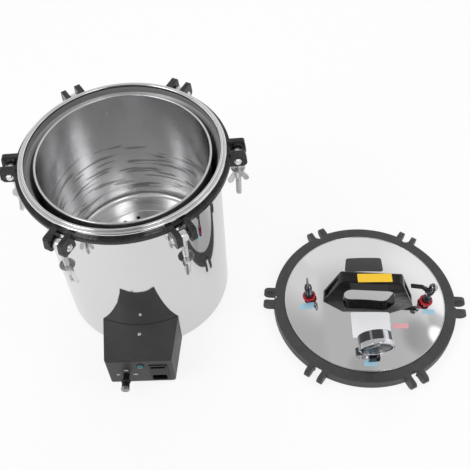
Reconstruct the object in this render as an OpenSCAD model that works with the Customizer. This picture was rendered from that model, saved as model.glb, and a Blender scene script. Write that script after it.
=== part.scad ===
// Portable electric steam steriliser: an open pot with its inner bucket,
// six swing bolts on a clamp ring, a control box, and the lid lying beside it.
// The origin is on the floor, in the axis of the pot.

/* [Pot] */
// Height of the mouth above the floor
pot_h = 338; // [320:1:360]
// Outer radius of the body
pot_r = 142; // [139:0.5:143]
// Thickness of the drawn sheet
pot_wall = 2; // [1.5:0.1:2.4]
// Radius of the corner at the bottom
pot_corner = 14; // [8:0.5:24]
// How much wider the mouth is than the chamber
mouth_flare = 5; // [4:0.25:6]
// Drop from the crest of the mouth to the foot of the ledge
ledge_drop = 20; // [18:0.5:26]
// Height of the sloped ledge
ledge_h = 5; // [3:0.5:8]
// Radius of the bead that carries the gasket
crest_bead = 2.3; // [1.8:0.1:2.6]
// Radius of the outer rolled bead
rim_bead = 3; // [2.5:0.1:3.4]
// Distance between the two beads
bead_step = 4; // [3.5:0.1:4.6]
// Drop of the outer bead below the crest
rim_drop = 5.2; // [4:0.1:6]
// Height of the rolled rim down to its lower edge
rim_skirt = 10.4; // [9:0.1:12]

/* [Clamp ring] */
// Radial width of the ring
ring_w = 13; // [11:0.5:15]
// Thickness of the ring
ring_t = 8; // [6:0.5:10]
// Rounding of the ring's edges
ring_round = 1.5; // [0.8:0.1:2.5]
// Number of swing bolts
lug_n = 6; // [6]
// Thickness of one ear of a fork
ear_t = 9; // [7:0.5:11]
// Width of the slot in a fork
slot_w = 14.5; // [13.5:0.5:17]
// Depth of the slot's root in the ring
slot_root = 2.3; // [1.5:0.1:4]
// Turn of the ring on the pot
ring_turn = 1.2; // [0:0.1:3]
// Distance of the hinge pin from the ring's outer edge
pin_reach = 9; // [8.6:0.1:11]
// Drop of the hinge pin below the ring's upper face
pin_drop = 13.8; // [13:0.1:16]
// Radius of the ear's lower nose
nose_r = 8; // [6:0.5:9]
// Reach of the nose's middle beyond the hinge pin
nose_out = 6; // [4:0.5:7]
// Drop of the ear's lower edge below the hinge pin
nose_drop = 9.5; // [8:0.5:11]
// Radius of the ear's upper corner
brow_r = 4; // [2:0.5:5]
// How far the ears stand above the ring
brow_up = 3.7; // [1:0.1:4]
// Distance of the ears' inner end from the ring's outer edge
ear_in = 4.2; // [3:0.1:5]
// Bevel on the inner upper edges of the ears
ear_bevel = 1.6; // [0.8:0.1:2.5]

/* [Swing bolts] */
// Diameter of the hinge pin
pin_d = 8; // [7:0.25:9]
// Diameter of the pin's riveted head
pin_head_d = 12; // [10.5:0.5:14]
// Height of the pin's riveted head
pin_head_h = 2.5; // [1.5:0.1:4]
// Outer radius of the eye
eye_r = 9.5; // [8.5:0.1:9.8]
// Thickness of the eye
eye_t = 12; // [10:0.5:13]
// Diameter of the threaded rod
rod_d = 9; // [8:0.25:10]
// Length of the rod from the pin to its tip
rod_len = 87.5; // [84:0.5:98]
// Distance from the pin to the wing nut's seat
nut_rest = 53.5; // [52:0.5:56]
// How much nearer to the pin the first wing nut stands
nut_near = 19.5; // [0:0.5:20]
// Radius of the thrust washer
washer_r = 11.5; // [10:0.5:13]
// Radius of the washer's upper face
washer_top_r = 8.5; // [7.5:0.5:10]
// Thickness of the washer
washer_h = 5; // [3:0.5:7]
// Radius of the hub at its seat
hub_r = 8; // [7:0.25:9]
// Radius of the hub at its end
hub_end_r = 6.5; // [6:0.25:7]
// Height of the hub
hub_h = 12; // [10:0.5:15]
// Thickness of a wing
wing_t = 3.6; // [2.5:0.1:5]
// Radius of a wing's tip
wing_tip_r = 4.2; // [3:0.1:5]
// Sideways distance of a wing's tip
wing_out = 12.5; // [11:0.5:15]
// Height of a wing's tip above the seat
wing_up = 21; // [18:0.5:24]

/* [Bucket] */
// Gap between the bucket and the chamber's wall
bucket_gap = 10; // [9:0.5:16]
// Thickness of the bucket's sheet
bucket_wall = 1; // [0.8:0.1:1.6]
// Height of the bucket's bottom above the floor
bucket_z = 90; // [70:1:110]
// Drop of the bucket's rim below the mouth
bucket_drop = 7.5; // [6:0.5:15]
// Radius of the bucket's bottom corner
bucket_corner = 12; // [8:0.5:18]
// Radius of the rolled edge
roll_r = 2; // [1.6:0.1:2.6]
// Distance of the bottom's raised middle from the bucket's wall
step_in = 26; // [20:1:34]
// Height of the raised middle
step_h = 2.5; // [1.5:0.1:4]
// Distance of the pressed bead from the raised middle's edge
bead_in = 16; // [10:1:26]
// Radius of the pressed bead's section
bead_h = 1.8; // [1.2:0.1:2.4]
// Diameter of a hole in the bottom
hole_d = 7; // [4:0.5:8]
// Distance of the outer ring of holes from the pressed bead
hole_edge = 16; // [10:1:22]
// Number of the rings of holes
hole_rings = 3; // [1:1:3]

/* [Stand and heater] */
// Gap between the stand and the chamber's wall
stand_in = 18; // [16:1:28]
// Width of the stand's ring
stand_w = 24; // [16:1:30]
// Thickness of the stand's strip
stand_t = 2; // [1.5:0.1:3]
// Width of a leg of the stand
leg_w = 18; // [12:1:24]
// Number of legs
leg_n = 3; // [3:1:4]
// Distance of the heating ring from the stand's edge
heater_in = 27; // [22:1:36]
// Diameter of the heating tube
heater_d = 9; // [7:0.5:10]
// Height of the heating ring above the chamber's floor
heater_z = 20; // [18:1:22]
// Half the distance between the heater's ends
heater_half = 22; // [18:1:26]
// Length of the sleeve where an end is joined to the ring
elbow_w = 14; // [11:1:18]
// How much thicker the sleeve is than the tube
elbow_t = 2; // [1:0.5:3]
// Radius of a gland nut
gland_r = 9; // [8:0.5:10]
// Thickness of a gland nut
gland_h = 6; // [4:0.5:8]
// Length of a terminal past the gland nut
term_len = 8; // [5:0.5:12]

/* [Control box] */
// Turn of the box from the front
box_turn = 1.4; // [0:0.1:5]
// Distance of the front face from the pot's body
box_depth = 66.4; // [60:0.1:72]
// Width of the front face
box_front_w = 106.8; // [100:0.5:112]
// Width of the box at the pot
box_back_w = 124; // [118:0.5:128]
// Height of the top above the floor
box_top = 78; // [74:0.5:84]
// Height of the bottom above the floor
box_foot = 8; // [5:0.5:12]
// Thickness of the moulding
box_wall = 2.5; // [2:0.1:3]
// Radius of the box's corners
box_round = 4; // [3.2:0.1:6]
// Bevel along the front's upper edge
box_bevel = 4; // [2:0.1:5]
// Distance of the top screw from the front face
screw_in = 48; // [44:0.5:50]
// Radius of the screw's head
screw_r = 2.8; // [2.4:0.1:4]
// Height of the screw's head
screw_h = 1.6; // [1.2:0.1:2.4]
// Width of the bracket under the screw
bracket_w = 34; // [24:1:40]
// Thickness of the bracket
bracket_t = 3; // [2:0.1:4]
// Height of the bracket's foot on the pot
bracket_h = 16; // [12:0.5:18]

/* [Controls] */
// Place of the lamp across the front
lamp_x = 1.6; // [-2:0.1:4]
// Drop of the lamp below the top
lamp_drop = 17.7; // [15:0.1:22]
// Radius of the lamp's lens
lamp_r = 5.7; // [5:0.1:6.5]
// Width of the lamp's bezel
lamp_rim = 0.9; // [0.7:0.1:1.5]
// Length of the lamp behind the front
lamp_len = 22; // [12:1:26]
// Place of the thermostat across the front
knob_x = -24.6; // [-30:0.1:-22]
// Drop of the thermostat's shaft below the top
knob_drop = 46; // [40:0.5:50]
// Radius of the knob's neck
neck_r = 5.2; // [4.5:0.1:6]
// Length of the knob's neck
neck_len = 11; // [8:0.5:13]
// Radius of the knob's skirt
skirt_r = 8.2; // [7:0.1:10]
// Thickness of the knob's skirt
skirt_t = 3; // [2:0.1:4]
// Radius of the knob's grip
grip_r = 6.4; // [5:0.1:7]
// Length of the knob's grip
grip_len = 9; // [7:0.5:12]
// Radius of the knob's end cap
cap_r = 7; // [6:0.1:8]
// Thickness of the knob's end cap
cap_t = 5; // [3:0.5:6]
// Width of the thermostat's case
stat_w = 30; // [24:0.5:34]
// Depth of the thermostat's case
stat_d = 24; // [16:0.5:28]
// Place of the inlet across the front
inlet_x = 29.5; // [27:0.1:31]
// Drop of the inlet's middle below the top
inlet_drop = 41; // [40:0.5:42]
// Width of the inlet's frame
inlet_w = 31; // [29:0.5:33]
// Height of the inlet's frame
inlet_h = 51; // [46:0.5:52]
// Rim of the inlet's frame
inlet_rim = 3.5; // [3:0.1:4.5]
// Height of the frame in front of the face
inlet_lip = 1.2; // [0.8:0.1:2]
// Depth of the inlet's well
inlet_deep = 17; // [14:0.5:20]
// Height of the inlet's well
well_h = 16; // [15:0.5:18]
// Depth of the fuse holder's recess above the well
fuse_in = 4; // [2:0.5:5]
// Height of the fuse holder's recess
fuse_h = 6; // [4:0.5:8]
// Width of an inlet pin
pin_w = 2; // [1.5:0.1:2.5]
// Height of an inlet pin
pin_h = 4; // [3.5:0.1:5]
// Length of an inlet pin
pin_len = 13; // [11:0.5:13.5]
// Distance between the inlet's pins
pin_pitch = 7; // [6:0.1:8]

/* [Lid] */
// Gap between the lid's ears and the pot's ears
lid_apart = 19.7; // [14:0.1:60]
// Place of the lid along the depth
lid_y = -81.8; // [-110:0.1:-60]
// Turn of the lid on the floor
lid_turn = 7; // [0:0.5:20]
// How far the lid's ring stands out over the rolled rim
lid_over = 3.3; // [2:0.1:4.6]
// Radial width of the lid's ring
lid_ring_w = 18.8; // [17:0.2:20]
// Height of the lid's ring
lid_ring_h = 19.3; // [18:0.1:22]
// Thickness of the ring's upper plate
lid_plate_t = 9.3; // [8:0.1:10]
// Thickness of the ring's skirt
lid_skirt_t = 2.8; // [2:0.1:3.4]
// Reach of the lid's ears past the ring
lid_ear_reach = 8.4; // [7:0.1:10]
// Thickness of the lid's sheet
lid_wall = 2; // [1.5:0.1:2.4]
// Rise of the dome above its edge
dome_rise = 27; // [24:0.5:32]
// Clearance between the lid's ring and its skirted flange
flange_in = 1.3; // [1:0.1:2]
// Outer width of the gasket
gasket_w = 8; // [6:0.5:9]
// Distance of the gasket from the flange's edge
gasket_edge = 2.5; // [1.5:0.1:3.5]
// Thickness of the gasket
gasket_t = 3.4; // [2.6:0.1:4.4]

/* [Handle] */
// Place of the handle across the lid
handle_x = 3.5; // [0:0.1:8]
// Place of the handle along the lid
handle_y = -9; // [-14:0.1:0]
// Half length of the top
handle_top_half = 52.7; // [48:0.1:56]
// Half length at the feet
handle_foot_half = 75.8; // [70:0.1:80]
// Width of the handle
handle_d = 21.9; // [18:0.1:26]
// Height of the handle's top above the floor
handle_z = 103; // [96:0.5:112]
// Height of the feet's lower corners
handle_foot_z = 38; // [36:0.5:39]
// Height of the bar above the grip
bar_h = 23; // [19:0.5:25]
// Half width of the grip opening
grip_half = 42.5; // [38:0.5:46]
// Corner radius of the handle's top
handle_round = 9; // [6:0.5:12]
// Corner radius of the grip opening
grip_round = 14; // [10:0.5:16]
// Radius of the foot's tip
toe_r = 2.5; // [1.5:0.1:3.5]
// Width of the channel in a leg's outer face
channel_w = 13; // [10:0.5:15]
// Depth of the channel
channel_d = 4; // [2:0.5:5]

/* [Gauge] */
// Place of the dial across the lid
gauge_x = 11; // [6:0.1:14]
// Distance of the dial from the outer edge of the lid's ring
gauge_in = 31.6; // [28:0.1:36]
// Height of the dial's middle
gauge_z = 72; // [68:0.5:80]
// Turn of the dial on the lid
gauge_turn = 8.3; // [0:0.1:15]
// Forward lean of the dial
gauge_lean = 9.3; // [4:0.1:14]
// Radius of the case
gauge_r = 27.8; // [25:0.1:30]
// Depth of the case with its bezel
gauge_d = 24.7; // [20:0.1:28]
// Radius of the case's back
gauge_back_r = 22; // [19:0.5:25]
// Depth of the case's tapered part
gauge_taper = 11; // [8:0.5:12]
// Thickness of the case's wall
gauge_wall = 1.5; // [1:0.1:2]
// Depth of the bezel
bezel_d = 4; // [3:0.1:5]
// Width of the bezel's face
bezel_w = 2.4; // [2:0.1:3]
// Thickness of the glass
glass_t = 1.6; // [1:0.1:2]
// Distance of the dial behind the glass
dial_in = 5; // [4:0.1:7]
// Thickness of the dial plate
dial_t = 1; // [0.6:0.1:1.5]
// Length of the pointer
needle_len = 18; // [14:0.5:20]
// Width of the pointer at its hub
needle_w = 2; // [1.4:0.1:3]
// Thickness of the pointer
needle_t = 0.8; // [0.5:0.1:1.2]
// Radius of the pointer's hub
needle_hub_r = 2.6; // [2:0.1:4]
// Radius of the gauge's neck
stem_r = 6; // [5:0.25:8]
// Radius across the corners of the square fitting
fitting_r = 13; // [10:0.5:15]
// Height of the square fitting's top above the dome
fitting_h = 9; // [7:0.5:10]

/* [Valves] */
// Distance of the safety valve from the handle's foot
safety_gap = 23.6; // [18:0.1:28]
// Place of the safety valve along the lid
safety_y = -9.4; // [-16:0.1:-4]
// Distance of the release valve from the handle's foot
release_gap = 22.8; // [18:0.1:26]
// Place of the release valve along the lid
release_y = -6.5; // [-13:0.1:-2]
// Outward lean of the valves
valve_lean = 7; // [0:0.5:14]
// Radius of a valve's boss
boss_r = 8.5; // [7:0.1:9]
// Height of a boss above the dome at its middle
boss_h = 4.5; // [4:0.1:7]
// Radius of the red washer
red_r = 11.2; // [9.5:0.1:12]
// Thickness of the red washer
red_t = 2.6; // [1.5:0.1:4]
// Radius across the corners of a valve's hexagon
hex_r = 8.4; // [7:0.1:9.5]
// Height of a valve's hexagon
hex_h = 7; // [5:0.5:9]
// Radius of the safety valve's barrel
barrel_r = 6.5; // [5.5:0.1:7.5]
// Height of the safety valve's barrel
barrel_h = 17; // [13:0.5:20]
// Radius of the safety valve's cap
safety_cap_r = 5.6; // [4.5:0.1:6]
// Height of the safety valve's cap
safety_cap_h = 7; // [5:0.5:9]
// Radius of the pull ring
pull_r = 7.5; // [6.5:0.1:9]
// Radius of the pull ring's wire
pull_wire = 1.3; // [1:0.1:1.6]
// Turn of the pull ring
pull_turn = 0; // [0:5:90]
// Radius of the release valve's stem
release_stem_r = 4.2; // [3.5:0.1:4.5]
// Height of the release valve's stem
release_stem_h = 26; // [20:0.5:28]
// Radius of the collar that carries the lever
collar_r = 6; // [5.5:0.1:7]
// Height of the collar
collar_h = 6; // [5:0.5:8]
// Distance of the lever's pin from the stem's axis
lever_out = 9; // [8.8:0.1:11]
// Height of the lever's pin above the hexagon
lever_at = 23.5; // [21:0.5:25]
// Width of the release lever
lever_t = 6; // [4:0.1:7]
// Height of the lever's bar
lever_h = 4.4; // [3:0.1:5]
// Length of the lever
lever_len = 26; // [20:0.5:28]
// Distance of the lever's bend from its pin
bend_x = 8.5; // [6:0.5:11]
// Rise of the lever to its bend
lever_rise = 6.9; // [4:0.1:9]
// Radius of the lever's pin
lever_pin_r = 1.6; // [1.2:0.1:2]
// Thickness of a cheek of the stem's fork
cheek_t = 2; // [1.5:0.1:2.5]
// Radius of the release valve's round cap
leye_r = 7.2; // [6:0.1:7.5]
// Depth of the flat under the cap
leye_flat = 1; // [0.6:0.1:1.6]
// Radius of the steam hole in the cap
leye_hole = 2.4; // [2:0.1:3]

/* [Hidden] */

$fn = 96;
// Gap between pieces that rest on each other
seat_gap = 0.3;
// Radial clearance of a hinge or a sliding fit
fit_gap = 0.05;
// Overrun of every cut
over = 1;
// How far the straight sides of an outline lie inside its round corners
hull_in = 0.01;
// Fineness of the dome's outline
dome_fn = 360;
// Fineness of small round pieces
small_fn = 48;

// Pot
chamber_r = pot_r - pot_wall;
mouth_r = chamber_r + mouth_flare;
crest_r = mouth_r + crest_bead;
rim_r = crest_r + bead_step;
rim_out = rim_r + rim_bead;
ledge_z = pot_h - ledge_drop;

// Clamp ring and its forks
ring_in = mouth_r + pot_wall + seat_gap + fit_gap;
ring_out = ring_in + ring_w;
ring_z1 = pot_h - rim_skirt - seat_gap;
ring_z0 = ring_z1 - ring_t;
pin_x = ring_out + pin_reach;
pin_z = ring_z1 - pin_drop;
ear_at = (slot_w + ear_t) / 2;
nose_x = pin_x + nose_out;
nose_z = pin_z - nose_drop + nose_r;
brow_x = nose_x + nose_r - brow_r * 3 / 2;
brow_z = ring_z1 + brow_up - brow_r;
root_x = ring_out - ear_in;
grip_len2 = slot_w + ear_t * 2;

// Turn of each wing nut from the pot's radius
nut_turns = [10, 25, 140, 80, 70, 152];
// Swing bolts, with the distance along the hanging rod counted from the pin
rod_r = rod_d / 2;
slide_r = rod_r + fit_gap * 2;
nut_rests = [nut_rest - nut_near, nut_rest, nut_rest, nut_rest, nut_rest, nut_rest];
washer_drop = seat_gap + washer_h;

// Bucket, stand and heater
bucket_r = chamber_r - bucket_gap;
step_r = bucket_r - step_in;
bead_r = step_r - bead_in;
hole_step = (bead_r - hole_edge) / hole_rings;
stand_r = chamber_r - stand_in;
heater_r = stand_r - heater_in;
leg_r = heater_d / 2 - elbow_t / 4;
bucket_top = pot_h - bucket_drop;
stand_top = bucket_z - seat_gap;
floor_z = pot_wall + seat_gap;

// Control box
box_half_f = box_front_w / 2;
box_half_b = box_back_w / 2;
box_back_y = sqrt(pot_r * pot_r - box_half_b * box_half_b);
box_front = pot_r + box_depth;
face_y = box_front - box_wall;
knob_z = box_top - knob_drop;
lamp_z = box_top - lamp_drop;
inlet_z = box_top - inlet_drop;
screw_y = box_front - screw_in;
well_w = inlet_w - inlet_rim * 2;
well_z = -inlet_h / 2 + inlet_rim + well_h / 2;
stem_gap = neck_r / 2 + seat_gap;

// Lid
lid_ring_r = rim_out + lid_over;
lid_ring_in = lid_ring_r - lid_ring_w;
dome_z = lid_ring_h;
dome_edge = lid_ring_in - seat_gap;
dome_rs = (dome_edge * dome_edge + dome_rise * dome_rise) / (dome_rise * 2);
dome_cz = dome_z + dome_rise - dome_rs;
flange_z1 = lid_ring_h - lid_plate_t - seat_gap;
flange_z0 = flange_z1 - lid_wall;
flange_r = lid_ring_r - lid_skirt_t - flange_in;
lid_ear_r = lid_ring_h / 2;
gasket_in = flange_r - gasket_edge - gasket_w;
lid_ear_x = lid_ring_r + lid_ear_reach;
lid_x = nose_x + nose_r + lid_apart + lid_ear_x + lid_ear_r;
nut_h = hex_h * 0.7;

// Gauge
gauge_y = gauge_in - lid_ring_r;
gauge_len = gauge_d - bezel_d - fit_gap;
dial_z = glass_t + dial_in;
post_h = gauge_d - bezel_d / 2 - dial_z - dial_t - gauge_wall * 2 - fit_gap;
fitting_z = dome_height(gauge_x, gauge_y + gauge_d / 2) + fitting_h;

// Valves
safety_x = handle_x - handle_foot_half - safety_gap;
release_x = handle_x + handle_foot_half + release_gap;
barrel_z = boss_h + red_t + hex_h;

function dome_height(x, y) = dome_cz + sqrt(dome_rs * dome_rs - x * x - y * y);

// Places
module on_lid() translate([lid_x, lid_y, 0]) rotate([0, 0, -lid_turn]) children();
module on_box() rotate([0, 0, -box_turn]) children();
module on_front(x, z) on_box() translate([x, -box_front, z]) rotate([90, 0, 0]) children();
module at_lug(i) rotate([0, 0, ring_turn + 360 * (i - 1) / lug_n]) children();
module on_lug(i) at_lug(i) translate([pin_x, 0, pin_z]) children();
module down_rod(i, s) on_lug(i) translate([0, 0, -s]) rotate([180, 0, 0]) children();

module on_gauge() on_lid() translate([gauge_x, gauge_y, gauge_z])
  rotate([90 + gauge_lean, 0, gauge_turn]) children();
module on_valve(x, y) on_lid() translate([x, y, dome_height(x, y)])
  rotate([0, valve_lean * sign(x), 0]) children();
module dome_ball(gap) on_lid() translate([0, 0, dome_cz]) sphere(dome_rs + gap, $fn = dome_fn);

// Outline drawn tight round circles at c with radii r, given in turn to the left
module round_hull(c, r, inset = hull_in) {
  n = len(c);
  for (i = [0 : n - 1]) translate(c[i]) circle(r[i], $fn = small_fn);
  polygon([for (i = [0 : n - 1])
    let (j = (i + 1) % n, d = c[j] - c[i],
      a = atan2(d[1], d[0]) - acos((r[i] - r[j]) / norm(d)))
    each [c[i] + (r[i] - inset) * [cos(a), sin(a)], c[j] + (r[j] - inset) * [cos(a), sin(a)]]]);
}

// Ring between two radii
module tube(r1, r0, h) difference() {
  cylinder(h = h, r = r1);
  translate([0, 0, -over]) cylinder(h = h + over * 2, r = r0);
}

// Half outline of a cup with a rounded bottom corner
module cup_half(r, h, c) {
  translate([0, c]) square([r, h - c]);
  square([r - c, h]);
  translate([r - c, c]) circle(c);
}

// Pot: body, ledge, neck, gasket bead and rolled rim, turned in one piece
module pot_half() {
  difference() {
    cup_half(pot_r, ledge_z, pot_corner);
    translate([0, pot_wall]) cup_half(chamber_r, pot_h, pot_corner - pot_wall);
  }
  polygon([[chamber_r, ledge_z], [pot_r, ledge_z], [mouth_r + pot_wall, ledge_z + ledge_h],
    [mouth_r, ledge_z + ledge_h]]);
  translate([mouth_r, ledge_z + ledge_h])
    square([pot_wall, ledge_drop - ledge_h - crest_bead]);
  translate([crest_r, pot_h - crest_bead]) circle(crest_bead, $fn = small_fn);
  translate([crest_r, pot_h - rim_drop - pot_wall / 2]) square([bead_step, pot_wall]);
  translate([rim_r, pot_h - rim_drop]) circle(rim_bead, $fn = small_fn);
  translate([rim_r + rim_bead - pot_wall, pot_h - rim_skirt])
    square([pot_wall, rim_skirt - rim_drop]);
}

module pot_shell() color("silver") difference() {
  rotate_extrude($fn = 180) pot_half();
  for (s = [-1, 1]) on_box() translate([s * heater_half, -chamber_r + pot_r / 4, heater_z])
    rotate([90, 0, 0]) cylinder(h = pot_r / 2, r = leg_r + fit_gap, $fn = small_fn);
}

// One ear: block from the ring with a rounded brow and nose, seen from its side
module ear_side() round_hull([[root_x + ear_bevel, nose_z - nose_r + ear_bevel], [nose_x, nose_z],
  [brow_x, brow_z], [root_x + ear_bevel, ring_z1 + brow_up - ear_bevel]],
  [ear_bevel, nose_r, brow_r, ear_bevel]);

module ear_pair() for (s = [-1, 1]) difference() {
  translate([0, s * ear_at + ear_t / 2, 0]) rotate([90, 0, 0]) linear_extrude(ear_t) ear_side();
  translate([ring_out, s * slot_w / 2, ring_z1 + brow_up]) rotate([45, 0, 0])
    cube([pin_reach * 6, ear_bevel * 2, ear_bevel * 2], center = true);
}

module clamp_ring() color("dimgray") difference() {
  union() {
    rotate_extrude($fn = 180) round_hull(
      [[ring_in + ring_round, ring_z0 + ring_round], [ring_out - ring_round, ring_z0 + ring_round],
       [ring_out - ring_round, ring_z1 - ring_round], [ring_in + ring_round, ring_z1 - ring_round]],
      [ring_round, ring_round, ring_round, ring_round], 0);
    for (i = [1 : lug_n]) at_lug(i) ear_pair();
  }
  for (i = [1 : lug_n]) {
    at_lug(i) translate([ring_out - slot_root, -slot_w / 2, ring_z0 - over])
      cube([ring_w, slot_w, ring_t + over * 2]);
    on_lug(i) rotate([90, 0, 0]) cylinder(h = grip_len2 * 2, d = pin_d, center = true, $fn = small_fn);
  }
  translate([0, 0, ring_z0 - nose_r * 6]) cylinder(h = nose_r * 12, r = ring_in, $fn = 180);
}

module hinge_pins() color("gainsboro") for (i = [1 : lug_n]) on_lug(i) rotate([90, 0, 0]) {
  cylinder(h = grip_len2, d = pin_d, center = true, $fn = small_fn);
  for (s = [0, 1]) mirror([0, 0, s]) translate([0, 0, grip_len2 / 2])
    cylinder(h = pin_head_h, d1 = pin_head_d, d2 = pin_d, $fn = small_fn);
}

module eye_bolt(i) color("gainsboro") on_lug(i) difference() {
  union() {
    rotate([90, 0, 0]) cylinder(h = eye_t, r = eye_r, center = true, $fn = small_fn);
    translate([0, 0, -rod_len + rod_r / 4]) cylinder(h = rod_len - rod_r / 4, r = rod_r, $fn = small_fn);
    translate([0, 0, -rod_len])
      cylinder(h = rod_r / 4, r1 = rod_r * 3 / 4, r2 = rod_r, $fn = small_fn);
  }
  rotate([90, 0, 0]) cylinder(h = eye_t * 2, r = pin_d / 2 + fit_gap, center = true, $fn = small_fn);
}

module washer(i) color("silver") down_rod(i, nut_rests[i - 1] - washer_drop) difference() {
  cylinder(h = washer_h, r1 = washer_r, r2 = washer_top_r, $fn = small_fn);
  translate([0, 0, -over]) cylinder(h = washer_h + over * 2, r = slide_r, $fn = small_fn);
}

module wing_nut(i) color("gainsboro") down_rod(i, nut_rests[i - 1]) difference() {
  union() {
    cylinder(h = hub_h, r1 = hub_r, r2 = hub_end_r, $fn = small_fn);
    rotate([0, 0, -nut_turns[i - 1]]) for (s = [0, 1]) mirror([s, 0, 0])
      translate([0, wing_t / 2, 0]) rotate([90, 0, 0]) linear_extrude(wing_t)
        round_hull([[rod_r, hub_h / 2], [wing_out, wing_up]], [wing_t, wing_tip_r]);
  }
  translate([0, 0, -over]) cylinder(h = wing_up * 2, r = slide_r, $fn = small_fn);
}

// Bucket with its rolled edge and the rings pressed into its bottom
module bucket_half() {
  difference() {
    cup_half(bucket_r, bucket_top - bucket_z - roll_r, bucket_corner);
    translate([0, bucket_wall])
      cup_half(bucket_r - bucket_wall, bucket_top, bucket_corner - bucket_wall);
    translate([0, -over]) square([step_r - bucket_wall, step_h + over]);
  }
  translate([0, step_h]) difference() {
    union() {
      square([step_r, bucket_wall]);
      translate([bead_r, 0]) circle(bead_h, $fn = small_fn);
    }
    translate([bead_r, 0]) circle(bead_h - bucket_wall / 2, $fn = small_fn);
    translate([bead_r - bead_h - over, -bead_h - over]) square([bead_h * 2 + over * 2, bead_h + over]);
  }
  translate([step_r - bucket_wall, 0]) square([bucket_wall, step_h]);
  translate([bucket_r - bucket_wall / 2 + roll_r / 2, bucket_top - bucket_z - roll_r])
    circle(roll_r, $fn = small_fn);
}

module inner_bucket() color("lightgray") translate([0, 0, bucket_z]) difference() {
  rotate_extrude($fn = 180) bucket_half();
  for (k = [0 : hole_rings], j = [0 : max(k * 6, 1) - 1]) rotate([0, 0, 360 * j / max(k * 6, 1)])
    translate([k * hole_step, 0, -over])
      cylinder(h = step_h + bucket_wall + over * 2, d = hole_d, $fn = small_fn);
}

module bucket_stand() color("silver") {
  translate([0, 0, stand_top - stand_t]) tube(stand_r, stand_r - stand_w, stand_t);
  for (i = [1 : leg_n]) rotate([0, 0, 360 * i / leg_n + 90]) {
    translate([stand_r - stand_w / 2 - stand_t / 2, -leg_w / 2, floor_z])
      cube([stand_t, leg_w, stand_top - floor_z - stand_t / 2]);
    translate([stand_r - stand_w / 2 - leg_w / 2, -leg_w / 2, floor_z])
      cube([leg_w, leg_w, stand_t]);
  }
}

// Heating ring, open at the front, with two ends that run out through the wall
module heater_element() color("silver") on_box() {
  a = asin(heater_half / heater_r);
  translate([0, 0, heater_z]) {
    rotate([0, 0, -90 + a]) rotate_extrude(angle = 360 - a * 2)
      translate([heater_r, 0]) circle(d = heater_d, $fn = small_fn);
    for (s = [-1, 1]) translate([s * heater_half, -heater_r * cos(a), 0]) {
      rotate([0, 0, s * a / 2]) translate([0, elbow_w / 2, 0]) rotate([90, 0, 0])
        cylinder(h = elbow_w, d = heater_d + elbow_t, $fn = small_fn);
      rotate([90, 0, 0])
        cylinder(h = pot_r - heater_r * cos(a) + gland_h + term_len, r = leg_r,
          $fn = small_fn);
    }
  }
}

module heater_glands() color("goldenrod") on_box() for (s = [-1, 1]) {
  y1 = sqrt(pot_r * pot_r - (heater_half - gland_r) * (heater_half - gland_r)) + seat_gap;
  y0 = sqrt(chamber_r * chamber_r - (heater_half + gland_r) * (heater_half + gland_r)) - seat_gap;
  for (y = [y1, y0 - gland_h]) translate([s * heater_half, -y, heater_z]) rotate([90, 0, 0])
    difference() {
      cylinder(h = gland_h, r = gland_r, $fn = 6);
      translate([0, 0, -over])
        cylinder(h = gland_h + over * 2, r = leg_r + fit_gap, $fn = small_fn);
    }
}

// Plan of the control box, drawn in by w on the front and the sides
module box_plan(w) {
  r = box_round - w;
  slope = (box_half_b - box_half_f) / (box_front - box_back_y);
  xf = box_half_f - box_round + slope * box_round;
  xb = box_half_b + slope * (box_back_y - chamber_r / 2) - box_round;
  round_hull([[-xf, -box_front + box_round], [xf, -box_front + box_round],
    [xb, -chamber_r / 2], [-xb, -chamber_r / 2]], [r, r, r, r]);
}

module box_shell() color("dimgray") on_box() difference() {
  translate([0, 0, box_foot]) linear_extrude(box_top - box_foot) box_plan(0);
  translate([0, 0, box_foot + box_wall])
    linear_extrude(box_top - box_foot - box_wall * 2) box_plan(box_wall);
  translate([0, 0, -over]) cylinder(h = box_top * 2, r = pot_r + seat_gap, $fn = 180);
  translate([0, -box_front, box_top]) rotate([45, 0, 0])
    cube([box_front_w * 2, box_bevel, box_bevel], center = true);
  translate([lamp_x, -face_y + over, lamp_z]) rotate([90, 0, 0])
    cylinder(h = box_wall + over * 2, r = lamp_r + fit_gap, $fn = small_fn);
  translate([knob_x, -face_y + over, knob_z]) rotate([90, 0, 0])
    cylinder(h = box_wall + over * 2, r = stem_gap, $fn = small_fn);
  translate([inlet_x - inlet_w / 2 + inlet_rim / 2, -box_front - over,
    inlet_z - inlet_h / 2 + inlet_rim / 2])
    cube([inlet_w - inlet_rim, box_wall + over * 2, inlet_h - inlet_rim]);
  translate([0, -screw_y, box_top - box_wall - over])
    cylinder(h = box_wall + over * 2, r = screw_r / 2 + fit_gap, $fn = small_fn);
}

module box_bracket() color("silver") on_box() {
  z1 = box_top - box_wall - seat_gap;
  difference() {
    union() {
      translate([-bracket_w / 2, -screw_y - screw_r * 2, z1 - bracket_t])
        cube([bracket_w, screw_y + screw_r * 2 - chamber_r, bracket_t]);
      translate([-bracket_w / 2, -pot_r - bracket_t, z1 - bracket_h])
        cube([bracket_w, bracket_t + pot_wall, bracket_h]);
    }
    translate([0, 0, z1 - bracket_h - over]) cylinder(h = bracket_h * 2, r = pot_r + seat_gap, $fn = 180);
    translate([0, -screw_y, z1 - bracket_t - over])
      cylinder(h = bracket_t + over * 2, r = screw_r / 2 + fit_gap, $fn = small_fn);
  }
}

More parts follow.
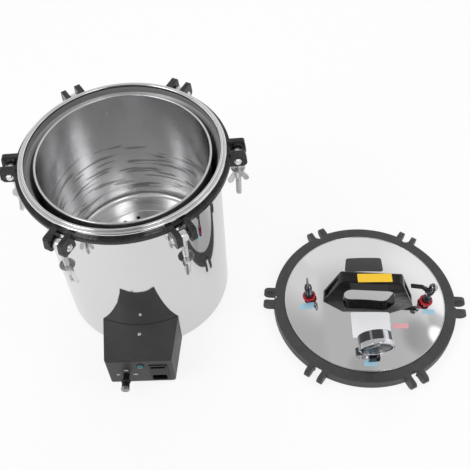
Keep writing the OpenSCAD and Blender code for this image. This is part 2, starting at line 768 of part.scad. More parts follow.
module box_screws() color("gainsboro") on_box() translate([0, -screw_y, box_top]) difference() {
  union() {
    translate([0, 0, fit_gap]) intersection() {
      cylinder(h = screw_h, r = screw_r, $fn = small_fn);
      translate([0, 0, screw_h - screw_r * 2]) sphere(screw_r * 2, $fn = small_fn);
    }
    translate([0, 0, -box_wall - bracket_t * 2]) cylinder(h = box_wall + bracket_t * 2 + screw_h / 2,
      r = screw_r / 2, $fn = small_fn);
  }
  for (a = [0, 90]) rotate([0, 0, a]) translate([0, 0, screw_h])
    cube([screw_r * 1.2, screw_r / 4, screw_h], center = true);
}

module lamp_bezel() color("black") on_front(lamp_x, lamp_z) {
  translate([0, 0, seat_gap / 3]) tube(lamp_r + lamp_rim, lamp_r - lamp_rim, lamp_rim);
  translate([0, 0, -lamp_len]) tube(lamp_r, lamp_r - lamp_rim, lamp_len + lamp_rim);
}

module lamp_lens() color("teal") on_front(lamp_x, lamp_z) {
  r = lamp_r - lamp_rim - fit_gap;
  translate([0, 0, -lamp_len / 2]) cylinder(h = lamp_len / 2 + lamp_rim, r = r, $fn = small_fn);
  intersection() {
    translate([0, 0, lamp_rim - r / 2]) sphere(r * 1.118, $fn = small_fn);
    translate([0, 0, lamp_rim - fit_gap]) cylinder(h = r, r = r, $fn = small_fn);
  }
}

module thermostat() color("dimgray") on_front(knob_x, knob_z) {
  translate([-stat_w / 2, -stat_w / 2, -box_wall - fit_gap - stat_d]) cube([stat_w, stat_w, stat_d]);
  translate([0, 0, -box_wall - stat_d / 2])
    cylinder(h = box_wall + stat_d / 2 + neck_len + skirt_t, r = neck_r / 2, $fn = small_fn);
}

module thermostat_knob() color("black") on_front(knob_x, knob_z) difference() {
  union() {
    translate([0, 0, seat_gap]) cylinder(h = neck_len, r = neck_r, $fn = small_fn);
    translate([0, 0, neck_len])
      cylinder(h = skirt_t, r1 = skirt_r, r2 = skirt_r - skirt_t / 3, $fn = small_fn);
    translate([0, 0, neck_len + skirt_t]) cylinder(h = grip_len, r = grip_r, $fn = small_fn);
  }
  translate([0, 0, -over])
    cylinder(h = neck_len + skirt_t + over + fit_gap * 4, r = neck_r / 2 + fit_gap, $fn = small_fn);
  for (a = [0 : 30 : 330]) rotate([0, 0, a])
    translate([grip_r + fit_gap, 0, neck_len + skirt_t + skirt_t / 3]) cylinder(h = grip_len, r = fit_gap * 14, $fn = 16);
}

module knob_cap() color("silver") on_front(knob_x, knob_z)
  translate([0, 0, neck_len + skirt_t + grip_len]) {
    cylinder(h = cap_t * 3 / 4, r = cap_r, $fn = small_fn);
    translate([0, 0, cap_t * 3 / 4])
      cylinder(h = cap_t / 4, r1 = cap_r, r2 = cap_r - cap_t / 4, $fn = small_fn);
  }

module inlet_socket() color("black") on_front(inlet_x, inlet_z) {
  w = inlet_w - inlet_rim - fit_gap * 2;
  h = inlet_h - inlet_rim - fit_gap * 2;
  difference() {
    union() {
      translate([0, 0, seat_gap / 3]) linear_extrude(inlet_lip) round_hull(
        [for (p = [[-1, -1], [1, -1], [1, 1], [-1, 1]])
          [p[0] * (inlet_w / 2 - inlet_rim), p[1] * (inlet_h / 2 - inlet_rim)]],
        [inlet_rim, inlet_rim, inlet_rim, inlet_rim]);
      translate([-w / 2, -h / 2, -inlet_deep - box_wall])
        cube([w, h, inlet_deep + box_wall + inlet_lip / 2]);
    }
    translate([-well_w / 2, inlet_h / 2 - inlet_rim - fuse_h, -fuse_in])
      cube([well_w, fuse_h, fuse_in * 2]);
    translate([0, well_z, -inlet_deep]) linear_extrude(inlet_deep * 2) round_hull(
      [[-well_w / 2 + pin_w, -well_h / 2 + pin_w], [well_w / 2 - pin_w, -well_h / 2 + pin_w],
       [well_w / 2 - pin_h, well_h / 2 - pin_h], [-well_w / 2 + pin_h, well_h / 2 - pin_h]],
      [pin_w, pin_w, pin_h, pin_h]);
  }
}

module inlet_pins() color("gold") on_front(inlet_x, inlet_z)
  for (k = [-1 : 1]) translate([k * pin_pitch - pin_w / 2, well_z - pin_h + (1 - k * k) * pin_h,
    -inlet_deep]) cube([pin_w, pin_h, pin_len]);

// Lid: dome, neck and flange, turned in one piece
module lid_half() {
  difference() {
    translate([0, dome_cz]) circle(dome_rs, $fn = dome_fn);
    translate([0, dome_cz]) circle(dome_rs - lid_wall, $fn = dome_fn);
    translate([-dome_rs * 2, dome_cz - dome_rs * 2]) square([dome_rs * 2, dome_rs * 4]);
    translate([-over, dome_cz - dome_rs * 2]) square([dome_rs * 2, dome_z - dome_cz + dome_rs * 2]);
  }
  translate([dome_edge - lid_wall, flange_z0]) square([lid_wall, dome_z - flange_z0]);
  translate([dome_edge - lid_wall, flange_z0]) square([flange_r - dome_edge + lid_wall, lid_wall]);
}

module lid_dome() color("gainsboro") on_lid() rotate_extrude($fn = 180) lid_half();

module lid_ring() color("dimgray") on_lid() difference() {
  union() {
    rotate_extrude($fn = 180) {
      round_hull([[lid_ring_in + ring_round, lid_ring_h - lid_plate_t + ring_round],
        [lid_ring_r - ring_round, lid_ring_h - lid_plate_t + ring_round],
        [lid_ring_r - ring_round, lid_ring_h - ring_round],
        [lid_ring_in + ring_round, lid_ring_h - ring_round]],
        [ring_round, ring_round, ring_round, ring_round], 0);
      translate([lid_ring_r - lid_skirt_t, 0]) square([lid_skirt_t, lid_ring_h - lid_plate_t / 2]);
    }
    for (i = [1 : lug_n], s = [-1, 1]) rotate([0, 0, 360 * i / lug_n]) difference() {
      translate([0, s * ear_at + ear_t / 2, 0]) rotate([90, 0, 0]) linear_extrude(ear_t) {
        translate([lid_ear_x, lid_ear_r]) circle(lid_ear_r, $fn = small_fn);
        translate([lid_ring_r - lid_skirt_t, 0]) square([lid_ear_reach + lid_skirt_t, lid_ring_h]);
      }
      translate([lid_ring_r, s * slot_w / 2, lid_ring_h]) rotate([45, 0, 0])
        cube([lid_ear_r * 6, ear_bevel * 2, ear_bevel * 2], center = true);
    }
  }
  for (i = [1 : lug_n]) rotate([0, 0, 360 * i / lug_n]) translate([lid_ring_r + ear_bevel, 0, -over])
    cylinder(h = lid_ring_h + over * 2, d = slot_w, $fn = small_fn);
}

module lid_gasket() color("white") on_lid() translate([0, 0, flange_z0 - gasket_t - seat_gap / 3])
  tube(gasket_in + gasket_w, gasket_in, gasket_t);

// Fixing nuts on the underside of the dome
module lid_nuts() color("goldenrod") difference() {
  union() {
    on_valve(safety_x, safety_y) under_nut();
    on_valve(release_x, release_y) under_nut();
    for (s = [-1, 1]) on_lid() translate([handle_x + s * (handle_foot_half - handle_d / 2), handle_y,
      dome_height(handle_x + s * (handle_foot_half - handle_d / 2), handle_y)]) under_nut();
  }
  on_lid() translate([0, 0, dome_cz]) difference() {
    sphere(dome_rs * 1.1, $fn = dome_fn);
    sphere(dome_rs - lid_wall - seat_gap / 3, $fn = dome_fn);
  }
}

module under_nut() translate([0, 0, -lid_wall - nut_h * 1.6])
  cylinder(h = nut_h * 2, r = hex_r, $fn = 6);

// Carrying handle: a moulded arch with a rounded grip and channelled legs
module handle_side() {
  xt = handle_top_half - handle_round;
  xb = handle_foot_half - toe_r;
  difference() {
    round_hull([[-xb, handle_foot_z], [xb, handle_foot_z], [xt, handle_z - handle_round],
      [-xt, handle_z - handle_round]], [toe_r, toe_r, handle_round, handle_round]);
    round_hull([[-grip_half, handle_foot_z - bar_h], [grip_half, handle_foot_z - bar_h],
      [grip_half - grip_round, handle_z - bar_h - grip_round],
      [-grip_half + grip_round, handle_z - bar_h - grip_round]], [toe_r, toe_r, grip_round, grip_round]);
  }
}

module handle() color("black") difference() {
  on_lid() translate([handle_x, handle_y, 0]) {
    slope = atan2(handle_foot_half - handle_top_half, handle_z - handle_foot_z);
    run = norm([handle_foot_half - handle_top_half, handle_z - handle_foot_z]);
    difference() {
      translate([0, handle_d / 2, 0]) rotate([90, 0, 0]) linear_extrude(handle_d) handle_side();
      for (s = [0, 1]) mirror([s, 0, 0]) translate([handle_foot_half, 0, handle_foot_z])
        rotate([0, -slope, 0]) translate([-channel_d, -channel_w / 2, toe_r * 3])
          cube([channel_d * 2, channel_w, run - handle_round * 2 - toe_r]);
      for (s = [-1, 1]) translate([0, s * handle_d / 2, handle_z]) rotate([45, 0, 0])
        cube([handle_top_half * 2, toe_r, toe_r], center = true);
    }
  }
  dome_ball(seat_gap / 3);
}

module gauge_case() color("silver") on_gauge() translate([0, 0, -gauge_d])
  rotate_extrude($fn = 120) polygon([[0, 0], [gauge_back_r, 0], [gauge_r, gauge_taper],
    [gauge_r, gauge_len], [gauge_r - gauge_wall, gauge_len], [gauge_r - gauge_wall, gauge_taper],
    [gauge_back_r - gauge_wall, gauge_wall * 2], [0, gauge_wall * 2]]);

module gauge_bezel() color("silver") on_gauge() difference() {
  union() {
    translate([0, 0, -bezel_d]) cylinder(h = bezel_d / 2, r = gauge_r + gauge_wall / 2, $fn = 120);
    translate([0, 0, -bezel_d / 2])
      cylinder(h = bezel_d / 2, r1 = gauge_r + gauge_wall / 2, r2 = gauge_r - gauge_wall / 2, $fn = 120);
  }
  translate([0, 0, -bezel_d * 2]) cylinder(h = bezel_d * 4, r = gauge_r - bezel_w, $fn = 120);
}

module gauge_glass() color("white") on_gauge() translate([0, 0, -bezel_d / 2 - glass_t])
  cylinder(h = glass_t, r = gauge_r - bezel_w - fit_gap, $fn = 120);

module gauge_dial() color("white") on_gauge()
  translate([0, 0, -bezel_d / 2 - dial_z - dial_t]) {
    cylinder(h = dial_t, r = gauge_r - gauge_wall - fit_gap, $fn = 120);
    translate([0, 0, dial_t - fit_gap]) cylinder(h = dial_in / 2, r = needle_hub_r / 3, $fn = small_fn);
    translate([0, 0, -post_h]) cylinder(h = post_h + dial_t / 2, r = needle_hub_r * 2, $fn = small_fn);
  }

module gauge_pointer() color("red") on_gauge()
  translate([0, 0, -bezel_d / 2 - dial_z + dial_in / 4]) rotate([0, 0, 135]) difference() {
    linear_extrude(needle_t) {
      round_hull([[0, 0], [0, needle_len]], [needle_w / 2, needle_w / 6]);
      round_hull([[0, 0], [0, -needle_len / 3]], [needle_w / 2, needle_w / 2]);
      circle(needle_hub_r, $fn = small_fn);
    }
    translate([0, 0, -over])
      cylinder(h = needle_t + over * 2, r = needle_hub_r / 3 + fit_gap, $fn = small_fn);
  }

// Neck and square fitting between the dome and the gauge's case
module gauge_stem() color("silver") difference() {
  union() {
    on_gauge() translate([0, 0, -gauge_d / 2]) rotate([90, 0, 0])
      cylinder(h = gauge_r * 2, r = stem_r, $fn = small_fn);
    on_lid() translate([gauge_x, gauge_y + gauge_d / 2, 0]) rotate([0, 0, gauge_turn + 45]) {
      cylinder(h = fitting_z, r = fitting_r, $fn = 4);
      cylinder(h = fitting_z + red_t, r = fitting_r * 0.66, $fn = small_fn);
    }
  }
  dome_ball(seat_gap / 3);
  on_gauge() translate([0, 0, -gauge_d - over])
    cylinder(h = gauge_d + over * 2, r = gauge_r + gauge_wall / 2 + fit_gap * 2, $fn = 120);
}

module valve_washers() color("red")
  for (p = [[safety_x, safety_y], [release_x, release_y]])
    on_valve(p[0], p[1]) translate([0, 0, boss_h + fit_gap]) tube(red_r, boss_r / 2, red_t - fit_gap * 2);

// Base shared by both valves: boss on the dome, shank and hexagon
module valve_base(x, y) difference() {
  on_valve(x, y) {
    translate([0, 0, -boss_h]) cylinder(h = boss_h * 2, r = boss_r, $fn = small_fn);
    translate([0, 0, boss_h]) cylinder(h = red_t + hex_h / 2, r = boss_r / 2 - fit_gap, $fn = small_fn);
    translate([0, 0, boss_h + red_t]) cylinder(h = hex_h, r = hex_r, $fn = 6);
  }
  dome_ball(seat_gap / 3);
}

module safety_body() color("silver") {
  valve_base(safety_x, safety_y);
  on_valve(safety_x, safety_y) translate([0, 0, barrel_z]) difference() {
    cylinder(h = barrel_h, r = barrel_r, $fn = small_fn);
    for (a = [0, 60, 120]) rotate([0, 90, a]) translate([-barrel_h * 3 / 4, 0, 0])
      cylinder(h = barrel_r * 4, r = barrel_r / 5, center = true, $fn = 24);
    translate([0, 0, barrel_h / 2])
      cylinder(h = barrel_h, r = pull_wire * 2 + fit_gap * 2, $fn = small_fn);
  }
}

module safety_cap() color("silver") on_valve(safety_x, safety_y) translate([0, 0, barrel_z + barrel_h]) {
  translate([0, 0, seat_gap]) {
    cylinder(h = safety_cap_h * 2 / 3, r = safety_cap_r, $fn = small_fn);
    translate([0, 0, safety_cap_h * 2 / 3])
      cylinder(h = safety_cap_h / 3, r1 = safety_cap_r, r2 = safety_cap_r * 2 / 3, $fn = small_fn);
    translate([0, 0, -barrel_h / 2 + pull_wire])
      cylinder(h = barrel_h / 2, r = pull_wire * 2, $fn = small_fn);
  }
  translate([0, 0, seat_gap + safety_cap_h + pull_r]) rotate([0, 90, pull_turn])
    rotate_extrude() translate([pull_r, 0]) circle(pull_wire, $fn = 24);
}

module release_body() color("silver") {
  valve_base(release_x, release_y);
  on_valve(release_x, release_y) translate([0, 0, barrel_z]) {
    cylinder(h = release_stem_h, r = release_stem_r, $fn = small_fn);
    translate([0, 0, lever_at - lever_h / 4 - collar_h]) cylinder(h = collar_h, r = collar_r, $fn = small_fn);
    for (s = [-1, 1]) translate([0, s * (lever_t / 2 + fit_gap * 6 + cheek_t / 2) + cheek_t / 2, 0])
      rotate([90, 0, 0]) linear_extrude(cheek_t) round_hull(
        [[0, lever_at - lever_h / 4 - collar_h / 2], [-lever_out, lever_at]],
        [collar_h / 2 - fit_gap * 4, lever_pin_r * 5 / 3]);
    translate([-lever_out, 0, lever_at]) rotate([90, 0, 0])
      cylinder(h = lever_t + cheek_t * 3, r = lever_pin_r, center = true, $fn = small_fn);
  }
}

// Bent lever, hinged beside the stem
module release_lever() color("black") on_valve(release_x, release_y)
  translate([-lever_out, 0, barrel_z + lever_at]) difference() {
    translate([0, lever_t / 2, 0]) rotate([90, 0, 0]) linear_extrude(lever_t) {
      round_hull([[0, 0], [-bend_x, lever_rise]], [lever_h / 2, lever_h / 2]);
      round_hull([[-bend_x, lever_rise], [-lever_len, lever_rise]], [lever_h / 2, lever_h / 2]);
    }
    rotate([90, 0, 0])
      cylinder(h = lever_t * 2, r = lever_pin_r + fit_gap, center = true, $fn = small_fn);
  }

// Round cap with its steam hole
module release_eye() color("silver") on_valve(release_x, release_y)
  translate([0, 0, barrel_z + release_stem_h + seat_gap / 3 + leye_r - leye_flat]) difference() {
    sphere(leye_r, $fn = small_fn);
    rotate([60, 0, 0]) cylinder(h = leye_r * 4, r = leye_hole, center = true, $fn = small_fn);
    translate([0, 0, leye_flat - leye_r * 2]) cube(leye_r * 2, center = true);
  }

pot_shell();
clamp_ring();
hinge_pins();
eye_bolt(1);  // eye_bolt_1
eye_bolt(2);  // eye_bolt_2
eye_bolt(3);  // eye_bolt_3
eye_bolt(4);  // eye_bolt_4
eye_bolt(5);  // eye_bolt_5
eye_bolt(6);  // eye_bolt_6
washer(1);  // washer_1
washer(2);  // washer_2
washer(3);  // washer_3
washer(4);  // washer_4
washer(5);  // washer_5
washer(6);  // washer_6
wing_nut(1);  // wing_nut_1
wing_nut(2);  // wing_nut_2
wing_nut(3);  // wing_nut_3
wing_nut(4);  // wing_nut_4
wing_nut(5);  // wing_nut_5
wing_nut(6);  // wing_nut_6
inner_bucket();
bucket_stand();
heater_element();
heater_glands();
box_shell();
box_bracket();
box_screws();
lamp_bezel();
lamp_lens();
thermostat();
thermostat_knob();
knob_cap();
inlet_socket();
inlet_pins();
lid_dome();
lid_ring();
lid_gasket();
lid_nuts();
handle();
gauge_case();
gauge_bezel();
gauge_glass();
gauge_dial();
gauge_pointer();
gauge_stem();
valve_washers();
safety_body();
safety_cap();
release_body();
release_lever();
release_eye();
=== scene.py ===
"""Dresses the open steam steriliser pot and the lid that lies beside it."""

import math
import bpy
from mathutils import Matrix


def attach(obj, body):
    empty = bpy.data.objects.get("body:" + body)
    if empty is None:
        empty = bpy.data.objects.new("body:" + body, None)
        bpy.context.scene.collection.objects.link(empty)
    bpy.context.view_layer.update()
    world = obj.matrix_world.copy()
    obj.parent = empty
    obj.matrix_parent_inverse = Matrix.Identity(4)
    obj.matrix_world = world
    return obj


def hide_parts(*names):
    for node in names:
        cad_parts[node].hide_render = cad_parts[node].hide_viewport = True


bl_info = {
    "name": "Steam steriliser pot",
    "version": (1, 0, 0),
    "blender": (4, 5, 0),
    "location": "3D View > Sidebar > Steriliser",
    "description": "Finishes, threads, scales and plates of an open steam steriliser pot",
    "category": "Object",
}

import bmesh
import bpy
from mathutils import Matrix, Vector

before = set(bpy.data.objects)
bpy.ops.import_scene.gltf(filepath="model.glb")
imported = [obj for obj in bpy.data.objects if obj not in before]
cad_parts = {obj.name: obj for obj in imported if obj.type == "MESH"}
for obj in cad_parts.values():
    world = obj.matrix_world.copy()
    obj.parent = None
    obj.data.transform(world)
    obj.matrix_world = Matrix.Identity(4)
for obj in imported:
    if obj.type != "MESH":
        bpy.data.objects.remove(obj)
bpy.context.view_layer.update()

# Places in millimetres, and turns, as the solids have them
MM = 0.001
LUGS = 6
RING_TURN = math.radians(1.2)
PIN_PLACE = (169.35, 0, 313.5)
BOX_TURN = math.radians(-1.4)
BOX_FRONT = 208.4
KNOB_PLACE = (-24.6, 32.0)
LID_TURN = math.radians(-7.0)
LID_PLACE = (378.7, -81.8, 0)
DOME_R, DOME_CZ = 368.72685, -322.42685
SEAM_R = 137.4
LABEL_THICKNESS = 0.15
HANDLE_LABEL_PLACE = (8.2, -9.6, 103.02)
HANDLE_LABEL_TURN = math.radians(4)
HANDLE_LABEL_SIZE = (56.6, 16.6, 1.2)
GAUGE_PLACE = (11, -126, 72)
GAUGE_TURN = math.radians(8.3)
GAUGE_LEAN = math.radians(90 + 9.3)
DIAL_DEPTH = 8.6

# Bounds of the satin inside of the pot, in metres
CHAMBER_R, NECK_R, LEDGE_Z, BEAD_Z = 0.1408, 0.1460, 0.3175, 0.3335

SHARP_ANGLE = math.radians(35)
MERGE_DISTANCE = 1e-7
WHITE = (1, 1, 1, 1)


# Places

def shift(*spot):
    return Matrix.Translation(Vector(spot) * MM)


def box_matrix():
    return Matrix.Rotation(BOX_TURN, 4, "Z")


def lid_matrix():
    return shift(*LID_PLACE) @ Matrix.Rotation(LID_TURN, 4, "Z")


def front_matrix(x, z):
    """Flat on the front of the control box, with X to the right and Y up."""
    flat = Matrix.Rotation(math.radians(90), 4, "X")
    return box_matrix() @ shift(x, -BOX_FRONT, z) @ flat


def gauge_matrix(depth=0.0):
    """At a depth under the gauge's glass, looking at it from the front."""
    lean = Matrix.Rotation(GAUGE_LEAN, 4, "X")
    turn = Matrix.Rotation(GAUGE_TURN, 4, "Z")
    return lid_matrix() @ shift(*GAUGE_PLACE) @ turn @ lean @ shift(0, 0, -depth)


def lug_matrix(i):
    """On the hinge pin of lug i, with X away from the pot."""
    turn = Matrix.Rotation(math.tau * (i - 1) / LUGS + RING_TURN, 4, "Z")
    return turn @ shift(*PIN_PLACE)


def dome_height(x, y):
    return DOME_CZ + math.sqrt(DOME_R ** 2 - x * x - y * y)


# Small helpers for meshes

def new_object(name, mesh):
    piece = bpy.data.objects.new(name, mesh)
    bpy.context.scene.collection.objects.link(piece)
    return piece


def from_bmesh(name, bm, material, smooth=True):
    bmesh.ops.remove_doubles(bm, verts=bm.verts, dist=MERGE_DISTANCE)
    bmesh.ops.recalc_face_normals(bm, faces=bm.faces)
    mesh = bpy.data.meshes.new(name)
    bm.to_mesh(mesh)
    bm.free()
    mesh.materials.append(material)
    if smooth:
        shade(mesh)
    return new_object(name, mesh)


def shade(mesh):
    mesh.shade_smooth()
    mesh.set_sharp_from_angle(angle=SHARP_ANGLE)


def finish_piece(piece, body):
    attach(piece, body)


def paint(node, material):
    """Gives a carried-over solid its finish."""
    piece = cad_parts[node]
    piece.data.materials.clear()
    piece.data.materials.append(material)


def skin(bm, rows, ends="capped"):
    """Faces from row to row, each a loop of vertices, the ends capped, joined or open."""
    if ends == "joined":
        rows = rows + rows[:1]
    for row, after in zip(rows, rows[1:]):
        for j in range(len(row)):
            k = (j + 1) % len(row)
            bm.faces.new((row[j], after[j], after[k], row[k]))
    if ends == "capped":
        bm.faces.new(rows[0])
        bm.faces.new(rows[-1])


def turned(bm, profile, angles):
    """Rows of vertices, one at each angle round Z, from a profile of radius and height."""
    return [[bm.verts.new(Vector((r * math.cos(a), r * math.sin(a), z)) * MM)
             for r, z in profile] for a in angles]


def around(n):
    return [math.tau * k / n for k in range(n)]


def lathe(name, profile, material, matrix, n=96):
    """Closed ring or disc turned round Z from a profile of radius and height in mm."""
    bm = bmesh.new()
    skin(bm, turned(bm, profile, around(n)), ends="joined")
    bmesh.ops.remove_doubles(bm, verts=bm.verts, dist=MERGE_DISTANCE)
    bmesh.ops.dissolve_degenerate(bm, edges=bm.edges, dist=MERGE_DISTANCE)
    bm.transform(matrix)
    return from_bmesh(name, bm, material)


def rounded(corners, steps=6):
    """Profile points with corners rounded; each corner is radius, height, rounding."""
    points = []
    count = len(corners)
    for k, (r, z, fillet) in enumerate(corners):
        if not fillet:
            points.append((r, z))
            continue
        here = Vector((r, z))
        before = (Vector(corners[k - 1][:2]) - here).normalized() * fillet
        after = (Vector(corners[(k + 1) % count][:2]) - here).normalized() * fillet
        for j in range(steps + 1):
            t = j / steps
            points.append(tuple(here + before * (1 - t) ** 2 + after * t ** 2))
    return points


def rounded_rectangle(w, h, r, steps=6):
    x, y = w / 2 - r, h / 2 - r
    points = []
    for cx, cy, start in ((x, y, 0), (-x, y, 90), (-x, -y, 180), (x, -y, 270)):
        for k in range(steps + 1):
            a = math.radians(start + 90 * k / steps)
            points.append((cx + r * math.cos(a), cy + r * math.sin(a)))
    return points


def plate(name, outline, thickness, material, matrix):
    """Thin flat plate from an outline in millimetres."""
    bm = bmesh.new()
    skin(bm, [[bm.verts.new(Vector((x, y, z)) * MM) for x, y in outline]
              for z in (0, thickness)])
    bm.transform(matrix)
    return from_bmesh(name, bm, material, smooth=False)


def round_corner(u, v, w, h, rounding):
    """Draws a place on a w by h label in, where it lies near one of its corners."""
    a = rounding - min(u, 1 - u) * w
    b = rounding - min(v, 1 - v) * h
    if a > 0 and b > 0:
        pull = 1 - max(a, b) / math.hypot(a, b)
        u += a * pull / w * (1 if u < 0.5 else -1)
        v += b * pull / h * (1 if v < 0.5 else -1)
    return u, v


def dome_label(name, corners, thickness, material, rounding, lift=0.05, nx=24, ny=16):
    """Label that lies on the dome between four corners given in the lid's own place."""
    (x0, y0), (x1, y1), (x2, y2), (x3, y3) = corners
    w = math.hypot(x1 - x0, y1 - y0)
    h = math.hypot(x2 - x0, y2 - y0)
    bm = bmesh.new()
    rims = []
    for rise in (lift, lift + thickness):
        grid = []
        for j in range(ny + 1):
            row = []
            for i in range(nx + 1):
                u, v = round_corner(i / nx, j / ny, w, h, rounding)
                x = (x0 * (1 - u) + x1 * u) * (1 - v) + (x2 * (1 - u) + x3 * u) * v
                y = (y0 * (1 - u) + y1 * u) * (1 - v) + (y2 * (1 - u) + y3 * u) * v
                row.append(bm.verts.new(Vector((x, y, dome_height(x, y) + rise)) * MM))
            grid.append(row)
        for row, after in zip(grid, grid[1:]):
            for i in range(nx):
                bm.faces.new((row[i], row[i + 1], after[i + 1], after[i]))
        rims.append(grid[0] + [row[-1] for row in grid[1:]] + grid[-1][-2::-1]
                    + [row[0] for row in grid[-2:0:-1]])
    skin(bm, rims, ends="open")
    bm.transform(lid_matrix())
    return from_bmesh(name, bm, material)


def figures(text, size, material, matrix, thickness=0.15, bold=0.0):
    """Plain raised figures, made a mesh before they are put in place."""
    curve = bpy.data.curves.new("figures", "FONT")
    curve.body = text
    curve.size = size * MM
    curve.align_x = "CENTER"
    curve.align_y = "CENTER"
    curve.extrude = thickness / 2 * MM
    curve.offset = bold * MM
    holder = new_object("figures", curve)
    graph = bpy.context.evaluated_depsgraph_get()
    mesh = bpy.data.meshes.new_from_object(holder.evaluated_get(graph))
    bpy.data.objects.remove(holder)
    mesh.transform(matrix @ shift(0, 0, thickness / 2))
    mesh.materials.clear()
    mesh.materials.append(material)
    return new_object("figures", mesh)


def join_pieces(pieces, name):
    bm = bmesh.new()
    for piece in pieces:
        bm.from_mesh(piece.data)
    mesh = bpy.data.meshes.new(name)
    bm.to_mesh(mesh)
    bm.free()
    mesh.materials.append(pieces[0].data.materials[0])
    for piece in pieces:
        bpy.data.objects.remove(piece)
    return new_object(name, mesh)


# Small helpers for node trees

def feed(node, sockets):
    """Sets a node's inputs, each by name or number, or links them to a given socket."""
    for key, value in sockets.items():
        if isinstance(value, bpy.types.NodeSocket):
            node.id_data.links.new(value, node.inputs[key])
        else:
            node.inputs[key].default_value = value


def put(tree, kind, sockets=None, **settings):
    made = tree.nodes.new(kind)
    for key, value in settings.items():
        setattr(made, key, value)
    feed(made, sockets or {})
    return made


def calc(tree, operation, *values, clamp=False):
    return put(tree, "ShaderNodeMath", dict(enumerate(values)), operation=operation,
               use_clamp=clamp).outputs[0]


def vector_calc(tree, operation, *values):
    made = put(tree, "ShaderNodeVectorMath", dict(enumerate(values)), operation=operation)
    return made.outputs["Value" if operation in ("LENGTH", "DOT_PRODUCT") else "Vector"]


def span(tree, value, low, high, first=0.0, last=1.0, kind="LINEAR"):
    """Carries a value from between low and high to between first and last."""
    return put(tree, "ShaderNodeMapRange", {
        "Value": value, "From Min": low, "From Max": high, "To Min": first, "To Max": last},
        interpolation_type=kind).outputs[0]


def noise(tree, vector, scale, detail, roughness=0.5):
    return put(tree, "ShaderNodeTexNoise", {
        "Vector": vector, "Scale": scale, "Detail": detail,
        "Roughness": roughness}).outputs["Fac"]


def axes(tree, vector):
    return put(tree, "ShaderNodeSeparateXYZ", {0: vector}).outputs


def mix_tones(tree, share, first, second):
    return put(tree, "ShaderNodeMix", {"Factor": share, 6: first, 7: second},
               data_type="RGBA").outputs[2]


def mix_shaders(tree, share, first, second):
    return put(tree, "ShaderNodeMixShader", {0: share, 1: first, 2: second}).outputs[0]


def new_sockets(tree, direction, sockets):
    for title, kind, default in sockets:
        socket = tree.interface.new_socket(
            title, in_out=direction, socket_type="NodeSocket" + kind)
        if default is not None:
            socket.default_value = default


def shader_group(name, inputs, outputs):
    """Empty group: its tree, the sockets that come in and the node that they leave by."""
    tree = bpy.data.node_groups.new(name, "ShaderNodeTree")
    new_sockets(tree, "INPUT", inputs)
    new_sockets(tree, "OUTPUT", [(title, kind, None) for title, kind in outputs])
    return tree, tree.nodes.new("NodeGroupInput").outputs, tree.nodes.new("NodeGroupOutput")


def relief(tree, height, edge):
    """Normal of a height in metres, over edges rounded by a radius; and those edges."""
    soft = put(tree, "ShaderNodeBevel", {"Radius": edge}, samples=4).outputs[0]
    bump = put(tree, "ShaderNodeBump", {
        "Height": height, "Strength": 1.0, "Distance": 1.0, "Normal": soft})
    return bump.outputs[0], soft


def polish_group():
    """Faint hazy patches and fine hairlines of a polished or brushed metal."""
    tree, g, out = shader_group("Polish", [
        ("Vector", "Vector", None), ("Stretch", "Vector", (1.0, 1.0, 40.0)),
        ("Scale", "Float", 60.0), ("Low", "Float", 0.03), ("High", "Float", 0.08),
        ("Lines", "Float", 0.05), ("Depth", "Float", 0.00002), ("Wave", "Float", 0.0),
        ("Edge", "Float", 0.0005),
    ], [("Roughness", "Float"), ("Normal", "Vector"), ("Haze", "Float")])
    stretched = vector_calc(tree, "MULTIPLY", g["Vector"], g["Stretch"])
    hair = noise(tree, stretched, g["Scale"], 4.0, 0.6)
    haze = noise(tree, g["Vector"], 14.0, 3.0, 0.55)
    fade = span(tree, haze, 0.35, 0.7, g["Low"], g["High"])
    swell = calc(tree, "MULTIPLY", noise(tree, g["Vector"], 5.0, 1.0), g["Wave"])
    height = calc(tree, "MULTIPLY_ADD", hair, g["Depth"], swell)
    feed(out, {
        "Roughness": calc(tree, "MULTIPLY_ADD", hair, g["Lines"], fade, clamp=True),
        "Normal": relief(tree, height, g["Edge"])[0],
        "Haze": haze})
    return tree


def grain_group():
    """Fine grain of a moulding or an enamelled casting, with rounded edges and rubbed marks."""
    tree, g, out = shader_group("Grain", [
        ("Vector", "Vector", None), ("Scale", "Float", 900.0), ("Depth", "Float", 0.0001),
        ("Swell Scale", "Float", 60.0), ("Swell", "Float", 0.0002), ("Low", "Float", 0.3),
        ("High", "Float", 0.45), ("Edge", "Float", 0.0008),
        ("Color", "Color", (0.05, 0.05, 0.05, 1)), ("Rubbed", "Color", (0.09, 0.09, 0.09, 1)),
        ("Wear", "Float", 0.3),
    ], [("Color", "Color"), ("Roughness", "Float"), ("Normal", "Vector")])
    fine = noise(tree, g["Vector"], g["Scale"], 3.0, 0.6)
    broad = noise(tree, g["Vector"], g["Swell Scale"], 2.0)
    height = calc(tree, "MULTIPLY_ADD", fine, g["Depth"],
                  calc(tree, "MULTIPLY", broad, g["Swell"]))
    normal, soft = relief(tree, height, g["Edge"])
    flat = put(tree, "ShaderNodeNewGeometry").outputs["Normal"]
    bend = vector_calc(tree, "DOT_PRODUCT", soft, flat)
    edge = span(tree, bend, 0.998, 0.9, 0.0, g["Wear"])
    worn = calc(tree, "MULTIPLY", edge, noise(tree, g["Vector"], 180.0, 5.0, 0.7))
    dusty = span(tree, broad, 0.45, 0.8, 0.0, 0.18)
    total = calc(tree, "ADD", worn, dusty, clamp=True)
    feed(out, {
        "Color": mix_tones(tree, total, g["Color"], g["Rubbed"]),
        "Roughness": span(tree, broad, 0.3, 0.7, g["Low"], g["High"]),
        "Normal": normal})
    return tree


# Finishes

def workings(material):
    """A material's tree, its shader and the places on the object that patterns read."""
    tree = material.node_tree
    place = put(tree, "ShaderNodeTexCoord").outputs["Object"]
    return tree, tree.nodes["Principled BSDF"], place


